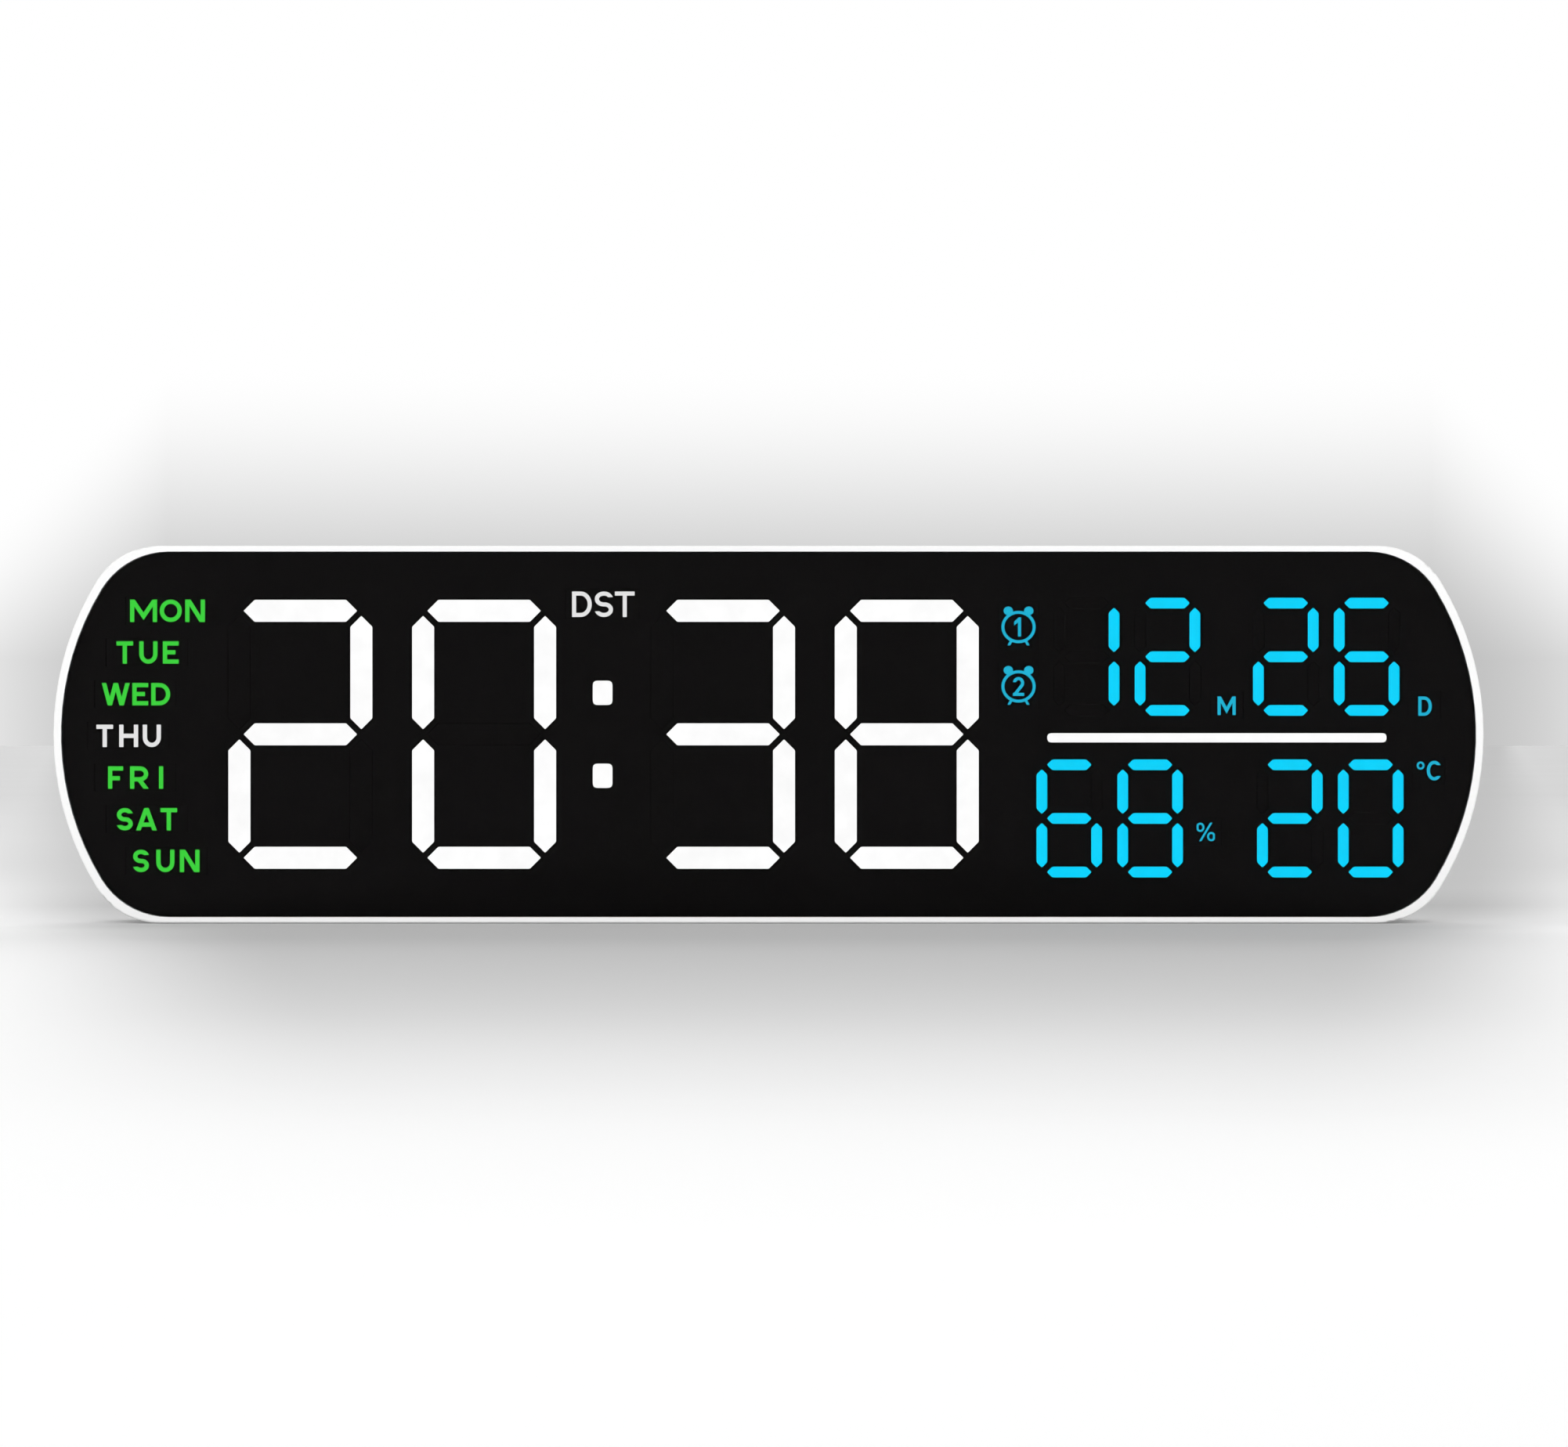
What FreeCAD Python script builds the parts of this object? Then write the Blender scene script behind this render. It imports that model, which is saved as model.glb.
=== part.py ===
import FreeCAD, Part
import os
import re
from math import atan2, degrees, sqrt

import Sketcher
from FreeCAD import Placement, Rotation, Vector

# A day clock with a wide lit display: a shallow case with rounded ends, a dark window over white,
# blue and green light bars, fold-out legs, four keys, a coin-cell door and wall slots at the back.
# X runs to the right seen from the front, Y to the back and Z up. The case stands on Z = 0, and
# Y = 0 is half of its depth. Lengths are millimetres.

SIZES = {
    # Case outline: flat top and bottom, large end arcs, small corner arcs.
    "case_width": 370.0,
    "case_height": 97.6,
    "case_end_radius": 76.0,
    "case_corner_radius": 18.9,
    "case_depth": 28.0,
    "bezel_depth": 16.0,
    "case_wall": 1.8,
    "back_wall": 2.0,
    "rim_round": 0.5,
    "back_round": 2.5,
    "seam_bevel": 0.35,
    # Face outline: the dark window inside the thin rim.
    "rim_side": 2.0,
    "rim_top": 1.5,
    "face_end_radius": 72.4,
    "face_corner_radius": 20.4,
    "lip_width": 2.0,
    "lip_thickness": 1.5,
    "lens_recess": 0.3,
    "lens_thickness": 2.0,
    "lens_clearance": 0.15,
    "film_gap": 0.15,
    "mask_thickness": 1.2,
    # Reflector block behind the mask, and the circuit board behind that.
    "baffle_side_gap": 6.0,
    "baffle_top_gap": 10.3,
    "baffle_end_radius": 68.4,
    "baffle_corner_radius": 8.0,
    "baffle_depth": 11.0,
    "well_seat": 0.3,
    "ear_x": 70.0,
    "ear_width": 12.0,
    "ear_thickness": 2.0,
    "ear_clearance": 0.5,
    "board_inset": 0.6,
    "board_thickness": 1.6,
    # The face that the display is laid out for: every place on it spreads with the real face.
    "layout_width": 366.0,
    "layout_height": 94.6,
    # Large digits: light bars that make the hours and minutes.
    "bar_thickness": 1.0,
    "window_clearance": 0.1,
    "digit_bar_width": 5.8,
    "digit_rise": 32.0,
    "digit_spread": 31.6,
    "digit_upright_gap": 2.6,
    "digit_flat_gap": 2.2,
    "digit_step": 47.6,
    "hour_x": -121.3,
    "minute_x": -11.8,
    "colon_x": -43.0,
    "colon_width": 5.1,
    "colon_height": 6.3,
    "colon_spacing": 21.5,
    # Small digits: month, day, humidity and temperature.
    "small_bar_width": 3.0,
    "small_rise": 13.9,
    "small_spread": 14.2,
    "small_upright_gap": 2.3,
    "small_flat_gap": 2.6,
    "small_step": 20.95,
    "month_x": 82.4,
    "day_x": 134.0,
    "humidity_x": 77.9,
    "temperature_x": 135.05,
    "date_row": 20.1,
    "climate_row": -21.8,
    "divider_x": 116.15,
    "divider_row": -0.9,
    "divider_length": 87.9,
    "divider_height": 2.4,
    # Label plates: seven weekdays, one summer-time sign, two alarms and four units.
    "weekday_width": 21.0,
    "weekday_height": 7.0,
    "weekday_step": 10.8,
    "weekday_row": -0.4,
    "weekday_x_outer": -155.9,
    "weekday_x_second": -161.0,
    "weekday_x_third": -164.0,
    "weekday_x_middle": -165.8,
    "summer_x": -42.9,
    "summer_row": 33.8,
    "summer_width": 19.0,
    "summer_height": 7.6,
    "alarm_x": 64.8,
    "alarm_row": 20.4,
    "alarm_step": 15.4,
    "alarm_width": 10.4,
    "alarm_height": 12.4,
    "unit_width": 8.4,
    "unit_height": 7.0,
    "month_unit_x": 118.7,
    "day_unit_x": 169.9,
    "date_unit_row": 7.6,
    "humidity_unit_x": 113.1,
    "humidity_unit_row": -25.2,
    "temperature_unit_x": 171.0,
    "temperature_unit_row": -9.5,
    # Lamps on the front of the board.
    "lamp_width": 2.0,
    "lamp_height": 1.2,
    "lamp_thickness": 0.8,
    # Case screws and their posts.
    "post_side_margin": 45.0,
    "post_margin": 4.6,
    "post_radius": 3.2,
    "pilot_radius": 1.25,
    "pilot_spare": 1.0,
    "screw_radius": 1.1,
    "screw_bite": 8.0,
    "screw_head_radius": 2.1,
    "screw_head_thickness": 1.7,
    "screw_clearance": 0.2,
    "counterbore_depth": 3.0,
    "slot_width": 0.7,
    "slot_depth": 0.9,
    "slot_reach": 1.4,
    # Board screws into the reflector block.
    "board_screw_x": 92.0,
    "board_screw_margin": 3.3,
    "board_screw_radius": 0.9,
    "board_screw_length": 6.0,
    "board_screw_head_radius": 1.8,
    "board_screw_head_thickness": 1.2,
    "rib_x": 80.0,
    "rib_row": 30.0,
    "rib_radius": 2.5,
    "rib_gap": 0.1,
    # Fold-out legs, their pins and the bays they fold into.
    "leg_pin_x": 118.0,
    "leg_length": 50.0,
    "leg_height": 16.0,
    "leg_thickness": 4.4,
    "leg_sink": 0.2,
    "leg_gap": 0.4,
    "leg_tip_round": 1.2,
    "leg_edge_bevel": 1.4,
    "leg_notch": 4.6,
    "lug_height": 3.0,
    "hinge_gap": 0.15,
    "pin_radius": 1.1,
    "pin_running_gap": 0.08,
    "pin_seat_gap": 0.02,
    "pin_sink": 0.4,
    "bay_wall": 1.6,
    "bay_roof": 2.2,
    "finger_width": 9.0,
    "finger_height": 9.0,
    "finger_depth": 3.6,
    # Keys: caps, the switch stems they press and the switches on the board.
    "key_x": 20.0,
    "key_step": 14.0,
    "key_row": 29.5,
    "key_radius": 3.6,
    "key_gap": 0.2,
    "key_sink": 0.1,
    "key_flange_radius": 4.7,
    "key_flange_thickness": 1.0,
    "key_flange_gap": 0.1,
    "key_plunger_radius": 1.5,
    "key_panel_depth": 0.8,
    "key_panel_margin": 4.0,
    "switch_side": 6.0,
    "switch_height": 3.6,
    "stem_radius": 1.7,
    "stem_gap": 0.15,
    "stem_height": 1.6,
    "stem_root": 1.2,
    # Keyhole slots for wall screws.
    "keyhole_spacing": 200.0,
    "keyhole_row": 16.0,
    "keyhole_radius": 4.2,
    "keyhole_slot_width": 4.2,
    "keyhole_rise": 10.0,
    "keyhole_pocket_side": 10.6,
    "keyhole_pocket_depth": 4.8,
    "keyhole_wall": 1.2,
    # Coin-cell bay, holder and door.
    "cell_x": -25.0,
    "cell_row": 4.0,
    "cell_radius": 10.0,
    "cell_thickness": 3.2,
    "cell_gap": 0.15,
    "holder_side": 23.0,
    "holder_base": 1.0,
    "holder_rim": 3.0,
    "contact_width": 3.0,
    "contact_thickness": 0.3,
    "well_side": 24.4,
    "well_wall": 1.4,
    "door_ledge": 3.0,
    "door_thickness": 1.8,
    "door_gap": 0.15,
    "door_tab": 8.0,
    "door_sink": 0.2,
    "door_rib": 1.0,
    "door_rib_depth": 1.2,
    "door_screw_radius": 0.8,
    "door_screw_head_radius": 1.6,
    "door_screw_head_thickness": 0.9,
    "door_screw_length": 5.4,
    "door_boss_radius": 2.6,
    "door_boss_depth": 5.0,
    "grip_width": 10.0,
    "grip_height": 1.0,
    "grip_depth": 0.5,
    "grip_step": 2.2,
    # Power inlet.
    "inlet_x": 30.0,
    "inlet_row": -8.0,
    "inlet_width": 8.94,
    "inlet_height": 3.26,
    "inlet_wall": 0.3,
    "inlet_sink": 0.3,
    "inlet_gap": 0.2,
    "inlet_tongue_width": 6.7,
    "inlet_tongue_thickness": 0.7,
    "inlet_tongue_sink": 0.8,
    "inlet_floor": 4.0,
    # Air slits over the climate sensor, and sound holes over the buzzer.
    "slit_x": -72.0,
    "slit_row": 26.0,
    "slit_width": 1.4,
    "slit_height": 13.0,
    "slit_step": 3.4,
    "sensor_width": 3.0,
    "sensor_thickness": 1.0,
    "buzzer_x": 62.0,
    "buzzer_row": -2.0,
    "buzzer_radius": 6.0,
    "buzzer_height": 6.5,
    "buzzer_port_radius": 1.0,
    "sound_hole_radius": 0.9,
    "sound_hole_circle": 4.0,
    # Chips on the back of the board.
    "clock_chip_side": 10.0,
    "clock_chip_row": -22.0,
    "driver_chip_x": 90.0,
    "driver_chip_width": 12.0,
    "driver_chip_height": 7.6,
    "chip_thickness": 1.6,
    "chip_bevel": 0.3,
    "crystal_x": 12.0,
    "crystal_row": -12.0,
    "crystal_radius": 1.5,
    "crystal_length": 6.0,
}

LONG_PLATE = 0.375
SLITS = 6
SOUND_HOLES = 6
KEYS = ["set_key", "plus_key", "minus_key", "alarm_key"]
SIDES = {"right": 1, "left": -1}
ONE_DEGREE = atan2(1, 1) / 45

doc = FreeCAD.newDocument("day_clock")
sheet = doc.addObject("Spreadsheet::Sheet", "sizes")
for line, (alias, size) in enumerate(SIZES.items(), start=1):
    sheet.set(f"A{line}", alias)
    sheet.set(f"B{line}", str(size))
    sheet.setAlias(f"B{line}", alias)
doc.recompute()

nodes = {}
pockets = []
lit_sketches = []


# ---------------------------------------------------------------- formulas bound to the sheet

def cells(formula):
    """The formula with each size's name turned into its cell."""
    return re.sub(r"[a-z_]+", lambda word: f"sizes.{word[0]}" if word[0] in SIZES else word[0], str(formula))


def number(formula):
    """What the formula comes to now."""
    return float(sheet.evalExpression(cells(formula)))


def bind(thing, **formulas):
    """Ties properties of an object to formulas of the sheet."""
    for prop, formula in formulas.items():
        thing.setExpression(prop.replace("__", "."), cells(formula))


def keep(node, thing):
    """Names a finished piece, which is then written as that node."""
    thing.Label = node
    nodes[node] = thing
    return thing


FRONT = "-case_depth/2"
BACK = "case_depth/2"
CENTRE = "case_height/2"
LENS_FRONT = f"({FRONT} + lens_recess)"
MASK_FRONT = f"({LENS_FRONT} + lens_thickness + film_gap)"
MASK_BACK = f"({MASK_FRONT} + mask_thickness)"
LIP_BACK = f"({MASK_BACK} + lip_thickness)"
BOARD_FRONT = f"({MASK_BACK} + baffle_depth)"
BOARD_BACK = f"({BOARD_FRONT} + board_thickness)"
SEAM = f"({FRONT} + bezel_depth)"
COVER_INSIDE = f"({BACK} - back_wall)"
BAR_FRONT = f"({MASK_BACK} - bar_thickness)"
PILOT_DEPTH = "(screw_bite + pilot_spare)"

# Width and height of each outline.
OUTLINES = {
    "case": ("case_width", "case_height"),
    "face": ("(case_width - 2*rim_side)", "(case_height - 2*rim_top)"),
    "baffle": ("(case_width - 2*baffle_side_gap)", "(case_height - 2*baffle_top_gap)"),
}


def row(height):
    """Height above the table of a place given from the middle of the case."""
    return f"({CENTRE} + {height})"


# ---------------------------------------------------------------- bodies, sketches and features

def new_body(node):
    return keep(node, doc.addObject("PartDesign::Body", f"{node}_body"))


def new_sketch(body, name, plane, level, x="0", z="0"):
    """An empty sketch in one of the body's own planes: upright (XZ) at a depth, or flat (XY) at a height."""
    drawing = body.newObject("Sketcher::SketchObject", name)
    origin_plane = next(part for part in body.Origin.OriginFeatures if part.Role == f"{plane}_Plane")
    drawing.AttachmentSupport = [(origin_plane, "")]
    drawing.MapMode = "FlatFace"
    facing = "-" if plane == "XZ" else ""
    bind(drawing, AttachmentOffset__Base__x=x, AttachmentOffset__Base__y=z,
         AttachmentOffset__Base__z=f"{facing}({level})")
    return drawing


def face_sketch(body, name, level):
    """An upright sketch whose origin is the middle of the case."""
    return new_sketch(body, name, "XZ", level, z=CENTRE)


def fix(drawing, rules):
    """Adds (constraint arguments, formula) pairs and ties each one's value to its formula."""
    indexes = drawing.addConstraint(
        [Sketcher.Constraint(*arguments, number(formula)) for arguments, formula in rules])
    for index, (_, formula) in zip(indexes, rules):
        drawing.setExpression(f"Constraints[{index}]", cells(formula))


def polygon(drawing, corners):
    """A closed run of straight lines through corners given as pairs of formulas."""
    first = drawing.GeometryCount
    count = len(corners)
    places = [Vector(number(x), number(z), 0) for x, z in corners]
    drawing.addGeometry([Part.LineSegment(places[i], places[(i + 1) % count]) for i in range(count)], False)
    drawing.addConstraint(
        [Sketcher.Constraint("Coincident", first + i, 2, first + (i + 1) % count, 1) for i in range(count)])
    for i, (x, z) in enumerate(corners):
        fix(drawing, [(("DistanceX", -1, 1, first + i, 1), x), (("DistanceY", -1, 1, first + i, 1), z)])


def rectangle(drawing, x, z, width, height):
    """A rectangle about a centre."""
    left, right = f"({x}) - ({width})/2", f"({x}) + ({width})/2"
    low, high = f"({z}) - ({height})/2", f"({z}) + ({height})/2"
    polygon(drawing, [(left, low), (right, low), (right, high), (left, high)])


def circle(drawing, x, z, radius):
    whole = Part.Circle(Vector(number(x), number(z), 0), Vector(0, 0, 1), number(radius))
    index = drawing.addGeometry(whole, False)
    fix(drawing, [(("DistanceX", -1, 1, index, 3), x), (("DistanceY", -1, 1, index, 3), z),
                  (("Radius", index), radius)])


def rounded_ends(drawing, kind, inset="0"):
    """The outline of one kind (case, face or baffle), moved in by inset.

    Two straight runs, two large end arcs centred on the middle line and four corner arcs, all tangent.
    """
    half_width, half_height = (f"{size}/2 - ({inset})" for size in OUTLINES[kind])
    end_radius = f"{kind}_end_radius - ({inset})"
    corner_radius = f"{kind}_corner_radius - ({inset})"
    w, h, big, small = number(half_width), number(half_height), number(end_radius), number(corner_radius)
    end_x = w - big
    corner_z = h - small
    corner_x = end_x + sqrt((big - small) ** 2 - corner_z ** 2)
    lean = degrees(atan2(corner_z, corner_x - end_x))

    def arc(x, z, radius, start, stop):
        whole = Part.Circle(Vector(x, z, 0), Vector(0, 0, 1), radius)
        return Part.ArcOfCircle(whole, start * ONE_DEGREE, stop * ONE_DEGREE)

    drawing.addGeometry([
        Part.LineSegment(Vector(corner_x, h, 0), Vector(-corner_x, h, 0)),
        arc(-corner_x, corner_z, small, 90, 180 - lean),
        arc(-end_x, 0, big, 180 - lean, 180 + lean),
        arc(-corner_x, -corner_z, small, 180 + lean, 270),
        Part.LineSegment(Vector(-corner_x, -h, 0), Vector(corner_x, -h, 0)),
        arc(corner_x, -corner_z, small, 270, 360 - lean),
        arc(end_x, 0, big, 360 - lean, 360 + lean),
        arc(corner_x, corner_z, small, lean, 90),
    ], False)
    drawing.addConstraint(
        [Sketcher.Constraint("Tangent", i, 2, (i + 1) % 8, 1) for i in range(8)]
        + [Sketcher.Constraint("Horizontal", 0), Sketcher.Constraint("Horizontal", 4),
           Sketcher.Constraint("Equal", 2, 6)]
        + [Sketcher.Constraint("Equal", 1, i) for i in (3, 5, 7)])
    fix(drawing, [
        (("Radius", 2), end_radius),
        (("Radius", 1), corner_radius),
        (("DistanceX", -1, 1, 6, 3), f"{half_width} - ({end_radius})"),
        (("DistanceY", -1, 1, 6, 3), "0"),
        (("DistanceX", -1, 1, 2, 3), f"({end_radius}) - ({half_width})"),
        (("DistanceY", -1, 1, 2, 3), "0"),
        (("DistanceY", -1, 1, 0, 1), half_height),
        (("DistanceY", -1, 1, 4, 1), f"-({half_height})"),
    ])
    return drawing


def pad(body, drawing, length):
    """Adds the sketch's shape from its level towards +Y or +Z."""
    feature = body.newObject("PartDesign::Pad", f"{drawing.Name}_pad")
    feature.Profile = drawing
    feature.Reversed = "XZ" in drawing.AttachmentSupport[0][0].Name
    bind(feature, Length=length)
    return feature


def pocket(body, drawing, length):
    """Cuts the sketch's shape from its level towards +Y or +Z."""
    feature = body.newObject("PartDesign::Pocket", f"{drawing.Name}_pocket")
    feature.Profile = drawing
    feature.Reversed = "XY" in drawing.AttachmentSupport[0][0].Name
    bind(feature, Length=length)
    pockets.append(feature)
    return feature


def edges_where(shape, test):
    """Names of the edges whose bounding box passes the test."""
    return [f"Edge{i}" for i, edge in enumerate(shape.Edges, start=1) if test(edge.BoundBox)]


def flat_at(depth):
    """Test for an edge that lies in the upright plane at this depth."""
    return lambda box: abs(box.YMin - depth) < 1e-4 and abs(box.YMax - depth) < 1e-4


def soften(body, base, kind, size, edges):
    """A Fillet or Chamfer along the named edges of a feature."""
    feature = body.newObject(f"PartDesign::{kind}", f"{body.Name}_{kind.lower()}")
    feature.Base = (base, edges)
    bind(feature, **{"Radius" if kind == "Fillet" else "Size": size})
    doc.recompute()
    return feature


# ---------------------------------------------------------------- primitives and booleans

def block(name, x, y, z):
    """A box between pairs of formulas, low then high, along each axis."""
    box = doc.addObject("Part::Box", name)
    bind(box, Length=f"({x[1]}) - ({x[0]})", Width=f"({y[1]}) - ({y[0]})", Height=f"({z[1]}) - ({z[0]})",
         Placement__Base__x=x[0], Placement__Base__y=y[0], Placement__Base__z=z[0])
    return box


def around(middle, size):
    """Low and high of a size about a middle."""
    return (f"({middle}) - ({size})/2", f"({middle}) + ({size})/2")


def rod(name, axis, radius, start, stop, x="0", y="0", z="0"):
    """A cylinder along Y or Z from start to stop."""
    cylinder = doc.addObject("Part::Cylinder", name)
    if axis == "Y":
        cylinder.Placement = Placement(Vector(), Rotation(Vector(1, 0, 0), -90))
        y = start
    else:
        z = start
    bind(cylinder, Radius=radius, Height=f"({stop}) - ({start})",
         Placement__Base__x=x, Placement__Base__y=y, Placement__Base__z=z)
    return cylinder


def joined(name, pieces):
    """One shape fused from several."""
    if len(pieces) == 1:
        return pieces[0]
    whole = doc.addObject("Part::MultiFuse", name)
    whole.Shapes = pieces
    return whole


def taken(name, base, tools):
    """The base with all the tools cut away."""
    result = doc.addObject("Part::Cut", name)
    result.Base = base
    result.Tool = joined(f"{name}_tools", tools)
    return result


def group(name, pieces):
    """Separate solids kept as one node."""
    cluster = doc.addObject("Part::Compound", name)
    cluster.Links = pieces
    return cluster


# ---------------------------------------------------------------- the display's lit shapes

def light_bar(drawing, x, z, length, width, upright):
    """A long hexagon whose ends taper to a point at 45 degrees."""
    half, side = f"({length})/2", f"({width})/2"
    shoulder = f"{half} - {side}"
    along = [f"-{half}", f"-({shoulder})", shoulder, half, shoulder, f"-({shoulder})"]
    across = ["0", side, side, "0", f"-{side}", f"-{side}"]
    if upright:
        along, across = across, along
    polygon(drawing, [(f"({x}) + ({a})", f"({z}) + ({b})") for a, b in zip(along, across)])


def bar_places(kind):
    """Centre of each of a digit's seven bars from the digit's middle, and whether it stands upright."""
    rise, spread = f"{kind}_rise", f"{kind}_spread"
    flat = [("0", f"{level}*{rise}", False) for level in (1, 0, -1)]
    upright = [(f"{side}*{spread}/2", f"{level}*{rise}/2", True) for side in (-1, 1) for level in (1, -1)]
    return flat + upright


def on_face(x, z):
    """A place or a distance of the layout, spread to the real face."""
    width, height = OUTLINES["face"]
    return f"({x})*{width}/layout_width", f"({z})*{height}/layout_height"


def bar_length(kind, upright):
    """A bar fills the way between two corners of its digit, less a gap."""
    spread, rise = on_face(f"{kind}_spread", f"{kind}_rise")
    return f"{rise} - {kind}_upright_gap" if upright else f"{spread} - {kind}_flat_gap"


def digit(drawing, kind, x, z):
    """All seven bars of one digit."""
    for bar_x, bar_z, upright in bar_places(kind):
        middle = on_face(f"{x} + {bar_x}", f"{z} + {bar_z}")
        light_bar(drawing, *middle, bar_length(kind, upright), f"{kind}_bar_width", upright)


WEEKDAY_X = ["weekday_x_outer", "weekday_x_second", "weekday_x_third", "weekday_x_middle",
             "weekday_x_third", "weekday_x_second", "weekday_x_outer"]

# Each lit group: its digits as (kind, x, row) and its plates as (x, row, width, height).
LIT = {
    "hour_tens_segments": [("digit", "hour_x", "0")],
    "hour_units_segments": [("digit", "hour_x + digit_step", "0")],
    "minute_tens_segments": [("digit", "minute_x", "0")],
    "minute_units_segments": [("digit", "minute_x + digit_step", "0")],
    "month_segments": [("small", "month_x", "date_row"), ("small", "month_x + small_step", "date_row")],
    "day_segments": [("small", "day_x", "date_row"), ("small", "day_x + small_step", "date_row")],
    "humidity_segments": [("small", "humidity_x", "climate_row"),
                          ("small", "humidity_x + small_step", "climate_row")],
    "temperature_segments": [("small", "temperature_x", "climate_row"),
                             ("small", "temperature_x + small_step", "climate_row")],
    "colon_dots": [("colon_x", f"{side}*colon_spacing/2", "colon_width", "colon_height") for side in (1, -1)],
    "divider_bar": [("divider_x", "divider_row", "divider_length", "divider_height")],
    "weekday_labels": [(x, f"weekday_row + {3 - i}*weekday_step", "weekday_width", "weekday_height")
                       for i, x in enumerate(WEEKDAY_X)],
    "summer_time_label": [("summer_x", "summer_row", "summer_width", "summer_height")],
    "alarm_labels": [("alarm_x", f"alarm_row + {side}*alarm_step/2", "alarm_width", "alarm_height")
                     for side in (1, -1)],
    "unit_labels": [(x, z, "unit_width", "unit_height") for x, z in (
        ("month_unit_x", "date_unit_row"), ("day_unit_x", "date_unit_row"),
        ("humidity_unit_x", "humidity_unit_row"), ("temperature_unit_x", "temperature_unit_row"))],
}


def lit_groups():
    """Every lit group: one sketch and pad for each digit, and one for all plates of a group."""
    for node, entries in LIT.items():
        body = new_body(node)
        digits = [entry for entry in entries if len(entry) == 3]
        plates = [entry for entry in entries if len(entry) == 4]
        for index, entry in enumerate(digits):
            drawing = face_sketch(body, f"{node}_{index}", BAR_FRONT)
            digit(drawing, *entry)
            pad(body, drawing, "bar_thickness")
            lit_sketches.append(drawing)
        if plates:
            drawing = face_sketch(body, f"{node}_plates", BAR_FRONT)
            for x, z, width, height in plates:
                rectangle(drawing, *on_face(x, z), width, height)
            pad(body, drawing, "bar_thickness")
            lit_sketches.append(drawing)


def lit_openings(name, growth, front, back):
    """The outline of every lit shape, moved out by growth and drawn into a prism from front to back."""
    prisms = []
    for drawing in lit_sketches:
        grown = doc.addObject("Part::Offset2D", f"{name}_{drawing.Name}")
        grown.Source = drawing
        grown.Mode = "Pipe"
        grown.Join = "Intersection"
        bind(grown, Value=growth)
        prism = doc.addObject("Part::Extrusion", f"{grown.Name}_prism")
        prism.Base = grown
        prism.DirMode = "Custom"
        prism.Dir = Vector(0, 1, 0)
        prism.Solid = True
        bind(prism, LengthFwd=f"{back} - {BAR_FRONT}", LengthRev=f"{BAR_FRONT} - {front}")
        prisms.append(prism)
    return [group(f"{name}_openings", prisms)]


# ---------------------------------------------------------------- front of the case

def front_bezel():
    body = new_body("front_bezel")
    outline = rounded_ends(face_sketch(body, "bezel_outline", FRONT), "case")
    ring = pad(body, outline, "bezel_depth")
    doc.recompute()
    ring = soften(body, ring, "Fillet", "rim_round", edges_where(ring.Shape, flat_at(number(FRONT))))
    ring = soften(body, ring, "Chamfer", "seam_bevel", edges_where(ring.Shape, flat_at(number(SEAM))))
    seat = f"{MASK_BACK} - ({FRONT})"
    pocket(body, rounded_ends(face_sketch(body, "lens_seat", FRONT), "face"), seat)
    opening = rounded_ends(face_sketch(body, "lip_opening", MASK_BACK), "face", "lip_width")
    pocket(body, opening, "lip_thickness")
    cavity = f"{SEAM} - {LIP_BACK}"
    pocket(body, rounded_ends(face_sketch(body, "bezel_cavity", LIP_BACK), "case", "case_wall"), cavity)
    posts = face_sketch(body, "bezel_posts", LIP_BACK)
    pilots = face_sketch(body, "bezel_pilots", f"{SEAM} - {PILOT_DEPTH}")
    for x, z in post_places():
        circle(posts, x, z, "post_radius")
        circle(pilots, x, z, "pilot_radius")
    pad(body, posts, cavity)
    pocket(body, pilots, PILOT_DEPTH)


def post_places():
    """The six case-screw posts."""
    return [(f"{side}*(case_width/2 - post_side_margin)", f"{level}*(case_height/2 - post_margin)")
            for side in (-1, 0, 1) for level in (-1, 1)]


def lens_and_mask():
    lens = new_body("front_lens")
    pad(lens, rounded_ends(face_sketch(lens, "lens_outline", LENS_FRONT), "face", "lens_clearance"),
        "lens_thickness")
    plate = doc.addObject("PartDesign::Body", "mask_plate")
    pad(plate, rounded_ends(face_sketch(plate, "mask_outline", MASK_FRONT), "face", "lens_clearance"),
        "mask_thickness")
    keep("display_mask", taken("display_mask_cut", plate,
                               lit_openings("window", "window_clearance", MASK_FRONT, MASK_BACK)))


def light_baffle():
    body = doc.addObject("PartDesign::Body", "baffle_block")
    pad(body, rounded_ends(face_sketch(body, "baffle_outline", MASK_BACK), "baffle"), "baffle_depth")
    ears = face_sketch(body, "baffle_ears", LIP_BACK)
    ear_top = "case_height/2 - case_wall - ear_clearance"
    reach = f"{ear_top} - {OUTLINES['baffle'][1]}/2 + baffle_corner_radius"
    for side in (-1, 1):
        for level in (-1, 1):
            rectangle(ears, f"{side}*ear_x", f"{level}*({ear_top} - ({reach})/2)", "ear_width", reach)
    pad(body, ears, "ear_thickness")
    pilots = face_sketch(body, "board_pilots", f"{BOARD_FRONT} - board_screw_length")
    for x, z in board_screw_places():
        circle(pilots, x, z, "board_screw_radius + screw_clearance")
    pocket(body, pilots, "board_screw_length")
    keep("light_baffle", taken("light_baffle_cut", body,
                               lit_openings("reflector", "-well_seat", MASK_FRONT, BOARD_FRONT)))


def board_screw_places():
    """Four screws near the board's long edges."""
    board_row = f"({OUTLINES['baffle'][1]}/2 - board_screw_margin)"
    return [(f"{side}*board_screw_x", f"{level}*{board_row}") for side in (-1, 1) for level in (-1, 1)]


# ---------------------------------------------------------------- circuit board and what is on it

def display_board():
    body = new_body("display_board")
    pad(body, rounded_ends(face_sketch(body, "board_outline", BOARD_FRONT), "baffle", "board_inset"),
        "board_thickness")
    holes = face_sketch(body, "board_holes", BOARD_FRONT)
    for x, z in board_screw_places():
        circle(holes, x, z, "board_screw_radius + screw_clearance")
    pocket(body, holes, "board_thickness")


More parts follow.
